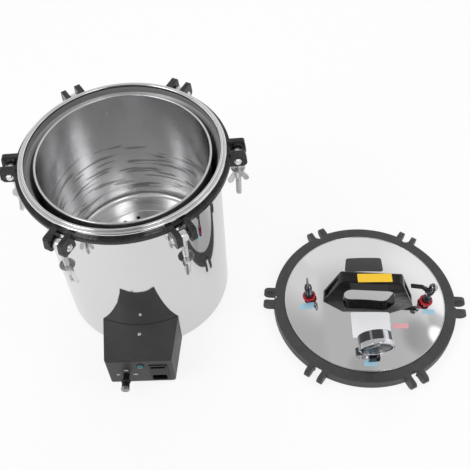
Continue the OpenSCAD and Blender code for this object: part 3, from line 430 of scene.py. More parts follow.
def source(shader, name):
    return shader.inputs[name].links[0].from_socket


def start_material(name, sockets):
    material = bpy.data.materials.new(name)
    material.use_nodes = True
    tree, shader, place = workings(material)
    feed(shader, sockets)
    return material, tree, shader, place


def metal(name, group, color, marks, low, high, lines, depth, edge, **more):
    """Bare metal: two close tones mixed by haze, with hairlines in gloss and normal."""
    material, tree, shader, place = start_material(name, {"Metallic": 1.0})
    marked = put(tree, "ShaderNodeGroup", {
        "Vector": place, "Low": low, "High": high, "Lines": lines, "Depth": depth,
        "Edge": edge, **more}, node_tree=group).outputs
    feed(shader, {
        "Base Color": mix_tones(tree, marked["Haze"], (*color, 1), (*marks, 1)),
        "Roughness": marked["Roughness"], "Normal": marked["Normal"]})
    return material


def moulding(name, group, color, rubbed, scale, depth, low, high, edge, coat=0.0,
             specular=0.5, swell_scale=60.0, swell=0.0002, wear=0.3):
    """Plastic, enamel or rubber with grain, rubbed edges and uneven gloss."""
    material, tree, shader, place = start_material(name, {
        "Coat Weight": coat, "Coat Roughness": 0.12, "Specular IOR Level": specular})
    grained = put(tree, "ShaderNodeGroup", {
        "Vector": place, "Color": (*color, 1), "Rubbed": (*rubbed, 1), "Scale": scale,
        "Depth": depth, "Swell Scale": swell_scale, "Swell": swell, "Low": low,
        "High": high, "Edge": edge, "Wear": wear}, node_tree=group).outputs
    feed(shader, {
        "Base Color": grained["Color"], "Roughness": grained["Roughness"],
        "Normal": grained["Normal"]})
    return material


def satin_inside(material):
    """Makes the chamber and the neck of the pot satin, up to the polished bead, and paints thin
    dark reflection rings on the rim above the bead.
    """
    tree, shader, place = workings(material)
    x, y, z = axes(tree, place)
    level = put(tree, "ShaderNodeCombineXYZ", {0: x, 1: y}).outputs[0]
    radius = vector_calc(tree, "LENGTH", level)
    chamber = calc(tree, "LESS_THAN", radius, CHAMBER_R)
    neck = calc(tree, "MULTIPLY", calc(tree, "LESS_THAN", radius, NECK_R),
                calc(tree, "GREATER_THAN", z, LEDGE_Z))
    mask = calc(tree, "MULTIPLY", calc(tree, "MAXIMUM", chamber, neck),
                calc(tree, "LESS_THAN", z, BEAD_Z))
    turning = put(tree, "ShaderNodeTexWave", {
        "Vector": place, "Scale": 140.0, "Distortion": 0.6, "Detail": 2.0},
        wave_type="BANDS", bands_direction="Z").outputs["Fac"]
    satin = span(tree, turning, 0.0, 1.0, 0.3, 0.5)
    # painted reflection: thin dark rings on the rim above the bead stand in for the light and
    # dark lines that its rolled beads mirror
    rings = put(tree, "ShaderNodeTexWave", {
        "Vector": level, "Scale": 130.0, "Distortion": 0.3},
        wave_type="RINGS", rings_direction="Z").outputs["Fac"]
    lines = span(tree, rings, 0.0, 0.35, 0.35, 0.0)
    painted_rim_rings = calc(tree, "MULTIPLY", calc(tree, "GREATER_THAN", z, BEAD_Z), lines)
    rim_with_painted_rings = mix_tones(tree, painted_rim_rings, source(shader, "Base Color"), (0.1, 0.1, 0.1, 1))
    rough = put(tree, "ShaderNodeMix", {
        "Factor": mask, 2: source(shader, "Roughness"), 3: satin}).outputs[0]
    feed(shader, {
        "Base Color": mix_tones(tree, mask, rim_with_painted_rings, (0.42, 0.42, 0.425, 1)),
        "Roughness": rough,
        "Metallic": calc(tree, "MULTIPLY_ADD", mask, -0.6, 1.0)})


# Painted reflection: dark bands painted into the colour across a plated cylinder from its left
# to its right edge: place, darkness
BANDS = ((0.0, 0.2), (0.04, 0.9), (0.27, 0.92), (0.29, 0.3), (0.33, 0.3), (0.35, 0.92),
         (0.64, 0.92), (0.67, 0.0), (0.8, 0.0), (0.83, 0.9), (0.92, 0.9), (0.95, 0.1))


def painted_reflection_bands(material):
    """Paints a reflection into the colour: darkens the sides of a plated piece, chosen by which
    way they face, as if they mirrored the dark half of a workroom.
    """
    tree = material.node_tree
    shader = tree.nodes["Principled BSDF"]
    facing = put(tree, "ShaderNodeNewGeometry").outputs["Normal"]
    across = span(tree, axes(tree, facing)[0], -1.0, 1.0)
    band = put(tree, "ShaderNodeValToRGB", {"Fac": across})
    stops = band.color_ramp.elements
    while len(stops) < len(BANDS):
        stops.new(1.0)
    for stop, (spot, darkness) in zip(stops, BANDS):
        stop.position = spot
        stop.color = (darkness, darkness, darkness, 1)
    # painted reflection: the base colour goes towards near black in bands set by the way the
    # surface faces
    feed(shader, {"Base Color": mix_tones(
        tree, band.outputs[0], source(shader, "Base Color"), (0.045, 0.045, 0.055, 1))})


def painted_hole_reflections(material):
    """Paints short dark reflections of the bucket floor's holes low on the inner face of the
    bucket's wall.
    """
    tree, shader, place = workings(material)
    height = axes(tree, place)[2]
    spots = noise(tree, vector_calc(tree, "MULTIPLY", place, (20.0, 20.0, 140.0)), 1.0, 1.0, 0.4)
    dark = span(tree, spots, 0.57, 0.63, 0.0, 0.5)
    low = span(tree, height, 0.26, 0.2, kind="SMOOTHSTEP")
    wall = span(tree, height, 0.1, 0.12, kind="SMOOTHSTEP")
    facing = put(tree, "ShaderNodeNewGeometry").outputs["Normal"]
    level = vector_calc(tree, "MULTIPLY", place, (1.0, 1.0, 0.0))
    outward = vector_calc(tree, "DOT_PRODUCT", facing, level)
    inner = calc(tree, "MULTIPLY", calc(tree, "MULTIPLY", low, wall),
                 calc(tree, "LESS_THAN", outward, 0.0))
    # painted reflection: dark dashes where the wall would mirror the holes in the bucket's floor
    share = calc(tree, "MULTIPLY", inner, dark)
    feed(shader, {"Base Color": mix_tones(
        tree, share, source(shader, "Base Color"), (0.08, 0.08, 0.08, 1))})


# Bare metals: material, its two tones, roughness from and to, lines, their depth, edge
METALS = {
    "chrome": ("Chrome plate", (0.7, 0.7, 0.73), (0.62, 0.62, 0.66),
               0.04, 0.09, 0.02, 0.000002, 0.0005),
    "bright chrome": ("Bright chrome plate", (0.8, 0.8, 0.82), (0.74, 0.74, 0.77),
                      0.04, 0.09, 0.02, 0.000002, 0.0005),
    "worn plate": ("Worn plate", (0.4, 0.4, 0.41), (0.3, 0.3, 0.31),
                   0.18, 0.32, 0.1, 0.00001, 0.0005),
    "brass": ("Brass", (0.72, 0.55, 0.25), (0.55, 0.4, 0.16),
              0.2, 0.35, 0.1, 0.00001, 0.0005),
}

# Mouldings and labels: material, colour, rubbed colour, scale of the grain, its depth,
# roughness from and to, edge, coat
MOULDINGS = {
    "silicone": ("White silicone", (0.75, 0.75, 0.72), (0.8, 0.8, 0.76),
                 600.0, 0.0001, 0.45, 0.6, 0.0008, 0.0),
    "red fibre": ("Red fibre", (0.55, 0.02, 0.035), (0.7, 0.1, 0.1),
                  900.0, 0.0001, 0.4, 0.55, 0.0005, 0.0),
    "lamp": ("Teal lamp lens", (0.006, 0.14, 0.14), (0.1, 0.5, 0.5),
             300.0, 0.0001, 0.15, 0.25, 0.0005, 0.6),
    "print": ("White print", (0.78, 0.78, 0.76), (0.7, 0.7, 0.68),
              1500.0, 0.00002, 0.4, 0.5, 0.0001, 0.0),
    "dial": ("Dark dial", (0.012, 0.014, 0.02), (0.04, 0.04, 0.05),
             1500.0, 0.00002, 0.3, 0.4, 0.0002, 0.0),
    "yellow label": ("Yellow label", (0.9, 0.56, 0.02), (0.95, 0.66, 0.08),
                     800.0, 0.00001, 0.3, 0.4, 0.0001, 0.3),
    "white label": ("White label", (0.93, 0.935, 0.96), (0.95, 0.95, 0.95),
                    800.0, 0.00001, 0.3, 0.42, 0.0001, 0.3),
    "pink label": ("Pink label", (0.84, 0.42, 0.45), (0.85, 0.5, 0.5),
                   800.0, 0.00001, 0.3, 0.4, 0.0001, 0.0),
    "blue label": ("Light blue label", (0.36, 0.62, 0.76), (0.5, 0.72, 0.82),
                   800.0, 0.00001, 0.3, 0.4, 0.0001, 0.3),
    "data plate": ("Black data plate", (0.012, 0.012, 0.014), (0.06, 0.06, 0.06),
                   900.0, 0.00002, 0.25, 0.35, 0.0003, 0.4),
}

FINISH = {}


def dulled(color, share):
    return tuple(c * share for c in color)


def make_finishes(steel, black):
    """All finishes, kept by the name of what they cover."""
    polish, grain = polish_group(), grain_group()
    sheet, bucket, gloss = tuple(steel.sheet), tuple(steel.bucket), steel.gloss
    FINISH["mirror sheet"] = metal(
        "Mirror polished sheet", polish, sheet, dulled(sheet, 0.97), gloss, gloss + 0.03,
        0.02, 0.000002, 0.0004, Wave=0.00012)
    satin_inside(FINISH["mirror sheet"])
    FINISH["dome sheet"] = metal(
        "Mirror polished dome", polish, sheet, dulled(sheet, 0.97), gloss, gloss + 0.04,
        0.02, 0.000002, 0.0004, Wave=0.0001)
    FINISH["bucket sheet"] = metal(
        "Rolled bucket sheet", polish, bucket, dulled(bucket, 0.88), 0.17, 0.24, 0.06,
        0.000002, 0.0003, Wave=0.00012, Stretch=(6.0, 6.0, 60.0), Scale=20.0)
    # painted reflection of the floor's holes on the bucket's inner wall
    painted_hole_reflections(FINISH["bucket sheet"])
    FINISH["zinc"] = metal(
        "Bright zinc", polish, (0.86, 0.86, 0.87), (0.74, 0.74, 0.75), 0.16, 0.3, 0.1,
        0.00002, 0.0007, Stretch=(1.0, 1.0, 1.0), Scale=700.0)
    for finish, (name, *values) in METALS.items():
        FINISH[finish] = metal(name, polish, *values)
    # painted reflection bands on every chrome part
    painted_reflection_bands(FINISH["chrome"])
    FINISH["casting"] = moulding(
        "Black enamelled casting", grain, black.casting, (0.12, 0.12, 0.12), 500.0,
        0.00003, 0.13, 0.22, 0.0018, specular=0.42, swell_scale=90.0, swell=0.0005, wear=0.5)
    FINISH["lid casting"] = moulding(
        "Satin black casting", grain, black.lid_casting, (0.12, 0.12, 0.12), 700.0,
        0.00012, 0.36, 0.5, 0.0016, swell_scale=70.0, wear=0.5)
    FINISH["case"] = moulding(
        "Grained black case", grain, black.case, (0.1, 0.1, 0.1), 1400.0, 0.00012,
        0.4, 0.5, 0.0012, swell_scale=30.0, swell=0.00005, wear=0.4)
    FINISH["bakelite"] = moulding(
        "Glossy black moulding", grain, black.bakelite, (0.05, 0.05, 0.05), 900.0,
        0.00002, 0.12, 0.2, 0.002, specular=0.28, swell=0.0003)
    for finish, (name, *values) in MOULDINGS.items():
        FINISH[finish] = moulding(name, grain, *values)
    FINISH["glass"], tree, shader, place = start_material("Gauge glass", {
        "Transmission Weight": 1.0, "IOR": 1.15, "Base Color": (0.96, 0.98, 1.0, 1)})
    feed(shader, {"Roughness": span(tree, noise(tree, place, 120.0, 3.0), 0.0, 1.0, 0.0, 0.04)})


# Geometry Nodes trees

def geometry_tree(name, inputs):
    """Empty tree: the tree itself, the sockets that come in and the node at its end."""
    tree = bpy.data.node_groups.new(name, "GeometryNodeTree")
    new_sockets(tree, "OUTPUT", [("Geometry", "Geometry", None)])
    new_sockets(tree, "INPUT", inputs + [("Material", "Material", None)])
    return tree, tree.nodes.new("NodeGroupInput").outputs, tree.nodes.new("NodeGroupOutput")


def close_tree(tree, g, out, geometry):
    real = put(tree, "GeometryNodeRealizeInstances", {"Geometry": geometry}).outputs[0]
    finished = put(tree, "GeometryNodeSetMaterial", {
        "Geometry": real, "Material": g["Material"]}).outputs[0]
    feed(out, {"Geometry": finished})


def raise_by(tree, geometry, height):
    up = put(tree, "ShaderNodeCombineXYZ", {"Z": height}).outputs[0]
    return put(tree, "GeometryNodeTransform", {
        "Geometry": geometry, "Translation": up}).outputs[0]


def thread_tree():
    """Rod with a raised helical thread, pointing down from the origin."""
    tree, g, out = geometry_tree("Threaded rod", [
        ("Radius", "Float", 0.0045), ("Depth", "Float", 0.0006), ("Pitch", "Float", 0.0015),
        ("Start", "Float", 0.02), ("Length", "Float", 0.063)])
    turns = calc(tree, "DIVIDE", g["Length"], g["Pitch"])
    ridge = calc(tree, "SUBTRACT", g["Radius"], g["Depth"])
    helix = put(tree, "GeometryNodeCurveSpiral", {
        "Resolution": 20, "Rotations": turns, "Start Radius": ridge, "End Radius": ridge,
        "Height": g["Length"]}).outputs[0]
    third = put(tree, "GeometryNodeCurvePrimitiveCircle", {
        "Resolution": 3, "Radius": g["Depth"]}).outputs[0]
    coil = put(tree, "GeometryNodeCurveToMesh", {
        "Curve": helix, "Profile Curve": third, "Fill Caps": True}).outputs[0]
    core = put(tree, "GeometryNodeMeshCylinder", {
        "Vertices": 32, "Radius": ridge, "Depth": g["Length"]}).outputs["Mesh"]
    both = put(tree, "GeometryNodeJoinGeometry")
    feed(both, {0: coil})
    feed(both, {0: raise_by(tree, core, calc(tree, "MULTIPLY", g["Length"], 0.5))})
    foot = calc(tree, "ADD", g["Start"], g["Length"])
    close_tree(tree, g, out, raise_by(
        tree, both.outputs[0], calc(tree, "MULTIPLY", foot, -1.0)))
    return tree


def scale_tree():
    """Marks of a round scale in the XY plane, from Start over Sweep."""
    tree, g, out = geometry_tree("Scale marks", [
        ("Radius", "Float", 0.02), ("Count", "Int", 31), ("Start", "Float", 0.0),
        ("Sweep", "Float", 4.7), ("Size", "Vector", (0.003, 0.0004, 0.0001))])
    arc = put(tree, "GeometryNodeCurveArc", {
        "Resolution": g["Count"], "Radius": g["Radius"], "Start Angle": g["Start"],
        "Sweep Angle": g["Sweep"]}).outputs[0]
    spots = put(tree, "GeometryNodeCurveToPoints", {"Curve": arc}, mode="EVALUATED").outputs
    bar = put(tree, "GeometryNodeMeshCube", {"Size": g["Size"]}).outputs["Mesh"]
    copies = put(tree, "GeometryNodeInstanceOnPoints", {
        "Points": spots[0], "Instance": bar, "Rotation": spots["Rotation"]}).outputs[0]
    close_tree(tree, g, out, copies)
    return tree


def grown(name, tree, material, values, matrix):
    """Runs a tree with its inputs set and returns the plain mesh object in place."""
    values = {**values, "Material": material}
    seed = new_object(name, bpy.data.meshes.new(name))
    made = seed.modifiers.new("Grow", "NODES")
    made.node_group = tree
    for item in tree.interface.items_tree:
        if item.in_out == "INPUT" and item.name in values:
            made[item.identifier] = values[item.name]
    graph = bpy.context.evaluated_depsgraph_get()
    result = bpy.data.meshes.new_from_object(seed.evaluated_get(graph))
    seed.modifiers.remove(made)
    bpy.data.objects.remove(seed)
    result.transform(matrix)
    result.materials.clear()
    result.materials.append(material)
    return new_object(name, result)


def scale_marks(tree, radius, count, size, matrix):
    """White marks over three quarters of a turn, open at the bottom."""
    return grown("marks", tree, FINISH["print"], {
        "Radius": radius, "Count": count, "Start": math.radians(-45),
        "Sweep": math.radians(270), "Size": size}, matrix)


# Settings that a user would change

class SteelFinish(bpy.types.PropertyGroup):
    sheet: bpy.props.FloatVectorProperty(
        name="Sheet", description="Colour of the mirror polished sheet", size=3,
        subtype="COLOR", default=(0.80, 0.80, 0.805), min=0, max=1)
    bucket: bpy.props.FloatVectorProperty(
        name="Bucket", description="Colour of the bucket's rolled sheet", size=3,
        subtype="COLOR", default=(0.76, 0.76, 0.765), min=0, max=1)
    gloss: bpy.props.FloatProperty(
        name="Roughness", description="Roughness of the polished sheet", default=0.025,
        min=0, max=0.5, subtype="FACTOR")


class BlackFinish(bpy.types.PropertyGroup):
    casting: bpy.props.FloatVectorProperty(
        name="Clamp ring", description="Colour of the enamelled clamp ring", size=3,
        subtype="COLOR", default=(0.012, 0.012, 0.0125), min=0, max=1)
    lid_casting: bpy.props.FloatVectorProperty(
        name="Lid ring", description="Colour of the lid's satin casting", size=3,
        subtype="COLOR", default=(0.045, 0.045, 0.046), min=0, max=1)
    case: bpy.props.FloatVectorProperty(
        name="Case", description="Colour of the control box", size=3, subtype="COLOR",
        default=(0.035, 0.035, 0.036), min=0, max=1)
    bakelite: bpy.props.FloatVectorProperty(
        name="Moulding", description="Colour of the handle and the knob", size=3,
        subtype="COLOR", default=(0.007, 0.007, 0.007), min=0, max=1)


class BoltSizes(bpy.types.PropertyGroup):
    radius: bpy.props.FloatProperty(
        name="Thread radius", description="Outer radius of the bolt's thread",
        default=0.0045, min=0.004, max=0.005, unit="LENGTH", precision=5)
    pitch: bpy.props.FloatProperty(
        name="Pitch", description="Rise of the thread in one turn", default=0.0015,
        min=0.001, max=0.002, unit="LENGTH", precision=5)


class StudioSetup(bpy.types.PropertyGroup):
    place: bpy.props.FloatVectorProperty(
        name="Camera", description="Place of the camera", size=3, subtype="TRANSLATION",
        unit="LENGTH", default=(0.1592, -0.7525, 1.0986))
    pitch: bpy.props.FloatProperty(
        name="Pitch", description="How far the camera looks down",
        default=math.radians(52.46), subtype="ANGLE")
    roll: bpy.props.FloatProperty(
        name="Roll", description="Turn of the camera about its own view",
        default=math.radians(-3.11), subtype="ANGLE")
    lens: bpy.props.FloatProperty(
        name="Lens", description="Focal length on a 36 mm wide sensor in millimetres",
        default=55.333)
    light: bpy.props.FloatProperty(
        name="World light", description="Strength of the even light from all round",
        default=0.55, min=0, max=2)


SETTINGS = (("steel", SteelFinish), ("black", BlackFinish), ("bolt", BoltSizes),
            ("studio", StudioSetup))


def chosen(name):
    return getattr(bpy.context.scene, "steriliser_" + name)


# Pieces

class STERILISER_OT_finishes(bpy.types.Operator):
    """Makes the finishes and gives each carried-over solid its own"""
    bl_idname = "steriliser.finishes"
    bl_label = "Finishes"

    def execute(self, context):
        make_finishes(chosen("steel"), chosen("black"))
        covered = {
            "mirror sheet": ["pot_shell"],
            "dome sheet": ["lid_dome"],
            "bucket sheet": ["inner_bucket", "bucket_stand", "heater_element", "box_bracket"],
            "casting": ["clamp_ring"],
            "lid casting": ["lid_ring"],
            "case": ["box_shell"],
            "bakelite": ["handle", "lamp_bezel", "thermostat", "thermostat_knob",
                         "inlet_socket", "release_lever"],
            "worn plate": ["knob_cap"],
            "zinc": ["hinge_pins", "box_screws"] + [
                "%s_%d" % (kind, i + 1) for i in range(LUGS)
                for kind in ("eye_bolt", "washer", "wing_nut")],
            "chrome": ["gauge_case", "gauge_bezel", "gauge_stem", "safety_body",
                       "safety_cap", "release_body", "release_eye"],
            "brass": ["heater_glands", "lid_nuts", "inlet_pins"],
            "silicone": ["lid_gasket"],
            "red fibre": ["valve_washers"],
            "lamp": ["lamp_lens"],
            "dial": ["gauge_dial"],
            "print": ["gauge_pointer"],
            "glass": ["gauge_glass"],
        }
        left = set(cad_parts)
        for finish, nodes in covered.items():
            for node in nodes:
                paint(node, FINISH[finish])
                left.discard(node)
        if left:
            raise RuntimeError("no finish for " + ", ".join(sorted(left)))
        return {"FINISHED"}


# Swing bolt in millimetres from its pin: the eye's radii, half width, bevel and rounding,
# then radius and height down the neck and at the tip, and the thread's numbers in metres
EYE_R, EYE_BORE, EYE_HALF, EYE_BEVEL, EYE_SOFT = 9.5, 4.05, 6.0, 0.4, 1.6
BOLT_NECK = ((5.4, -8.0), (5.0, -10.5), (4.6, -13.0), (4.5, -16.0), (4.5, -18.5), (3.9, -19.2))
BOLT_TIP = ((3.9, -86.1), (3.4, -87.5))
THREAD = {"Depth": 0.0005, "Start": 0.018, "Length": 0.0685}


class STERILISER_OT_swing_bolts(bpy.types.Operator):
    """Replaces each plain swing bolt by a forged eye on a threaded rod"""
    bl_idname = "steriliser.swing_bolts"
    bl_label = "Swing bolts"

    def execute(self, context):
        sizes = chosen("bolt")
        tree = thread_tree()
        ring = [(EYE_BORE, -EYE_HALF + EYE_BEVEL), (EYE_BORE + EYE_BEVEL, -EYE_HALF),
                (EYE_R - EYE_SOFT, -EYE_HALF)]
        for a in (math.radians(22.5 * k) for k in range(1, 5)):
            ring.append((EYE_R - EYE_SOFT + EYE_SOFT * math.sin(a),
                         -EYE_HALF + EYE_SOFT - EYE_SOFT * math.cos(a)))
        ring += [(r, -z) for r, z in reversed(ring)]
        for i in range(1, LUGS + 1):
            here = lug_matrix(i)
            thread = grown("thread", tree, FINISH["zinc"], {
                "Radius": sizes.radius, "Pitch": sizes.pitch, **THREAD}, here)
            bm = bmesh.new()
            skin(bm, turned(bm, ring, around(48)), ends="joined")
            bm.transform(Matrix.Rotation(math.radians(90), 4, "X"))
            for profile in (BOLT_NECK, BOLT_TIP):
                skin(bm, list(zip(*turned(bm, profile, around(32)))))
            bm.transform(here)
            eye = from_bmesh("forged_eye", bm, FINISH["zinc"])
            bolt = join_pieces([eye, thread], "swing_bolt_%d" % i)
            shade(bolt.data)
            finish_piece(bolt, "bolt_%d" % i)
            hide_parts("eye_bolt_%d" % i)
        return {"FINISHED"}


# Knob's scale: radius in metres, number and size of its marks, and figures with their
# places in millimetres, their height and how much bolder they are
KNOB_MARKS = (0.0105, 13, (0.0003, 0.0012, 0.00016))
KNOB_FIGURES = (("50", -13.4, 1.2), ("100", 1.2, 14.6), ("150", 14.6, 0.4))
KNOB_FIGURE_SIZE, KNOB_FIGURE_BOLD = 5.0, 0.22


class STERILISER_OT_knob_scale(bpy.types.Operator):
    """Prints the plain temperature scale round the thermostat's knob"""
    bl_idname = "steriliser.knob_scale"
    bl_label = "Knob scale"

    def execute(self, context):
        here = front_matrix(*KNOB_PLACE)
        made = [scale_marks(scale_tree(), *KNOB_MARKS, here)]
        for text, x, y in KNOB_FIGURES:
            made.append(figures(text, KNOB_FIGURE_SIZE, FINISH["print"],
                                here @ shift(x, y, 0), bold=KNOB_FIGURE_BOLD))
        finish_piece(join_pieces(made, "knob_scale"), "pot")
        return {"FINISHED"}


# Gauge's face: radius in metres, number and size of its fine and its bold marks, then in
# millimetres the radius and height of its figures and the section of its coloured bands,
# which run clockwise from one angle to another
GAUGE_MARKS = ((0.0205, 31, (0.0002, 0.0016, 0.00012)), (0.0202, 7, (0.0004, 0.0030, 0.00014)))
GAUGE_FIGURES = ("0.0", "0.1", "0.2", "0.3")
GAUGE_FIGURE_R, GAUGE_FIGURE_SIZE = 15.6, 3.4
BAND_SECTION = ((22.0, 0), (23.2, 0), (23.2, 0.1), (22.0, 0.1))
GAUGE_BANDS = (("safe_band", 135, -10, "blue label"), ("limit_band", -10, -45, "red fibre"))
BAND_STEPS = 40


class STERILISER_OT_gauge_face(bpy.types.Operator):
    """Draws the gauge's scale with its coloured bands and plain figures"""
    bl_idname = "steriliser.gauge_face"
    bl_label = "Gauge face"

    def execute(self, context):
        here = gauge_matrix(DIAL_DEPTH) @ shift(0, 0, 0.02)
        tree = scale_tree()
        made = [scale_marks(tree, *marks, here) for marks in GAUGE_MARKS]
        for k, text in enumerate(GAUGE_FIGURES):
            a = math.radians(225 - 90 * k)
            spot = here @ shift(GAUGE_FIGURE_R * math.cos(a), GAUGE_FIGURE_R * math.sin(a), 0)
            made.append(figures(text, GAUGE_FIGURE_SIZE, FINISH["print"], spot))
        finish_piece(join_pieces(made, "gauge_scale"), "lid")
        for name, start, stop, finish in GAUGE_BANDS:
            bm = bmesh.new()
            skin(bm, turned(bm, BAND_SECTION, [
                math.radians(start + (stop - start) * k / BAND_STEPS)
                for k in range(BAND_STEPS + 1)]))
            bm.transform(here)
            band = from_bmesh(name, bm, FINISH[finish], smooth=False)
            finish_piece(band, "lid")
        return {"FINISHED"}


# Gauge in section, from the glass back: radius, height and rounding of each corner
GAUGE_CUP = ((0, -24.7, 0), (27.8, -24.7, 2.2), (27.8, -4.35, 0.4), (26.3, -4.35, 0.3),
             (26.3, -22.6, 1.5), (0, -22.6, 0))
GAUGE_RIM = ((28.5, -8.6, 0.4), (28.5, -0.9, 1.2), (26.9, 0.0, 0.9), (25.5, -0.6, 0.5),
             (25.5, -4.0, 0.3), (27.85, -4.0, 0), (27.85, -8.6, 0))


class STERILISER_OT_gauge_body(bpy.types.Operator):
    """Replaces the gauge's case and bezel by smooth drawn and turned ones"""
    bl_idname = "steriliser.gauge_body"
    bl_label = "Gauge body"

    def execute(self, context):
        case = lathe("gauge_cup", rounded(GAUGE_CUP), FINISH["chrome"], gauge_matrix())
        finish_piece(case, "lid")
        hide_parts("gauge_case")
        bezel = lathe("gauge_rim", rounded(GAUGE_RIM), FINISH["bright chrome"], gauge_matrix())
        finish_piece(bezel, "lid")
        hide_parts("gauge_bezel")
        return {"FINISHED"}


# Seam's section: radius, height over the dome's edge and rounding of each corner
SEAM = ((136.7, -0.2, 0), (136.8, 0.7, 0.4), (138.2, 0.5, 0.4), (138.3, -0.4, 0))


class STERILISER_OT_dome_seam(bpy.types.Operator):
    """Lays the bright rolled seam where the dome meets the black ring"""
    bl_idname = "steriliser.dome_seam"
    bl_label = "Dome seam"

    def execute(self, context):
        high = dome_height(0, SEAM_R)
        section = rounded([(r, high + z, fillet) for r, z, fillet in SEAM])
        bead = lathe("dome_seam", section, FINISH["bright chrome"], lid_matrix(), n=180)
        finish_piece(bead, "lid")
        return {"FINISHED"}


# Labels on the dome: corners from above, in millimetres from the lid's middle (far left,
# far right, near left, near right), thickness, finish, rounding and slot
DOME_LABELS = (
    ("front_sheet", ((-26.6, -41.6), (38.6, -37.2), (-22.8, -86.1), (40.7, -82.0)),
     0.12, "white label", 2.0, "gasket_rubber"),
    ("small_strip", ((43.5, -56.9), (70.6, -53.1), (43.3, -65.4), (70.3, -61.6)),
     0.12, "pink label", 1.0, "gasket_rubber"),
    ("left_tag", ((-111.6, -20.7), (-88.2, -19.2), (-111.2, -32.2), (-87.9, -30.7)),
     0.12, "blue label", 1.0, "gasket_rubber"),
    ("right_tag", ((96.4, -21.2), (118.4, -17.6), (96.2, -30.2), (117.8, -26.4)),
     0.12, "blue label", 1.0, "gasket_rubber"),
    ("gauge_tag", ((-4.0, -120.8), (17.5, -119.5), (-3.8, -130.6), (17.5, -129.4)),
     0.12, "blue label", 1.0, "gasket_rubber"),
    ("data_plate", ((-32.4, 74.2), (30.1, 79.5), (-35.2, 41.7), (32.2, 46.9)),
     0.5, "data plate", 4.0, "black_casting"),
)


class STERILISER_OT_labels(bpy.types.Operator):
    """Lays the bare labels and the bare data plate on the lid and the handle"""
    bl_idname = "steriliser.labels"
    bl_label = "Labels"

    def execute(self, context):
        tilt = Matrix.Rotation(HANDLE_LABEL_TURN, 4, "Z")
        top = lid_matrix() @ shift(*HANDLE_LABEL_PLACE) @ tilt
        grip = plate("handle_label", rounded_rectangle(*HANDLE_LABEL_SIZE), LABEL_THICKNESS,
                     FINISH["yellow label"], top)
        finish_piece(grip, "lid")
        for name, corners, thickness, finish, rounding, slot in DOME_LABELS:
            label = dome_label(name, corners, thickness, FINISH[finish], rounding)
            finish_piece(label, "lid")
        return {"FINISHED"}


# Stage

# Tones at the two ends of each fade, and the least that the room gives
FLOOR_TONES, CARD_TONES, ROOM_TONES = (0.86, 0.78), (0.5, 0.78), (0.86, 0.55)
DARKEST = 0.02


def stage_sheet(name, corners, material, facing):
    """Flat sheet between four corners, facing a given way."""
    bm = bmesh.new()
    bm.faces.new([bm.verts.new(corner) for corner in corners])
    piece = from_bmesh(name, bm, material, smooth=False)
    if piece.data.polygons[0].normal.dot(Vector(facing)) < 0:
        piece.data.flip_normals()
    return piece


def floor_finish():
    """Pale floor, clear to the camera, that also shows in metal and still takes shadow."""
    material, tree, shader, place = start_material("Pale floor", {
        "Base Color": (0.9, 0.9, 0.9, 1), "Roughness": 0.9, "Specular IOR Level": 0.0})
    path = put(tree, "ShaderNodeLightPath").outputs
    clear = calc(tree, "MAXIMUM", path["Is Camera Ray"], path["Is Transmission Ray"])
    seen = calc(tree, "MAXIMUM", clear, path["Is Glossy Ray"])
    fade = span(tree, axes(tree, place)[0], -0.25, 0.25, *FLOOR_TONES, "SMOOTHSTEP")
    glow = put(tree, "ShaderNodeEmission", {
        "Color": WHITE, "Strength": calc(tree, "MAXIMUM", fade, clear)}).outputs[0]
    feed(tree.nodes["Material Output"], {0: mix_shaders(
        tree, calc(tree, "MULTIPLY", seen, 0.85), shader.outputs[0], glow)})
    return material


def card_finish():
    """Glowing card, brighter towards the back, that fades out upwards and far back."""
    material = bpy.data.materials.new("Reflector card")
    material.use_nodes = True
    tree = material.node_tree
    tree.nodes.clear()
    y, z = axes(tree, put(tree, "ShaderNodeTexCoord").outputs["Object"])[1:]
    grade = span(tree, y, -0.12, 0.08, *CARD_TONES, "SMOOTHSTEP")
    pale = put(tree, "ShaderNodeEmission", {"Color": WHITE, "Strength": grade}).outputs[0]
    high = span(tree, z, 0.26, 0.46, kind="SMOOTHSTEP")
    far = span(tree, y, 0.22, 0.4, kind="SMOOTHSTEP")
    back = put(tree, "ShaderNodeNewGeometry").outputs["Backfacing"]
    clear = calc(tree, "MAXIMUM", calc(tree, "MAXIMUM", high, far), back)
    through = put(tree, "ShaderNodeBsdfTransparent").outputs[0]
    put(tree, "ShaderNodeOutputMaterial", {0: mix_shaders(tree, clear, pale, through)})
    return material


# Soft boxes that only shiny surfaces see: bearing from the back towards the right, height,
# bright core and soft edge in degrees, strength
SOFT_BOXES = ((81, 41, 2.5, 6.5, 0.85), (53, 20, 8, 34, 0.16), (60, 29, 3, 9, 0.15),
              (71, 38, 2, 7, -0.22), (83, 52, 4, 13, -0.19), (-122, 46, 7, 15, 3.5),
              (152, 46, 5, 12, 3.0), (-62, 56, 4, 16, -0.1), (170, 76, 3, 10, -0.1),
              (180, 18, 12, 42, -0.75))


def soft_box(tree, ahead, tone, azimuth, height, core, edge, strength):
    """Adds one soft patch of light, or of shade, to the tone of the room."""
    a, h = math.radians(azimuth), math.radians(height)
    aim = (math.sin(a) * math.cos(h), math.cos(a) * math.cos(h), math.sin(h))
    near = vector_calc(tree, "DOT_PRODUCT", ahead, aim)
    patch = span(tree, near, math.cos(math.radians(edge)), math.cos(math.radians(core)),
                 0.0, strength, "SMOOTHSTEP")
    return calc(tree, "ADD", tone, patch)


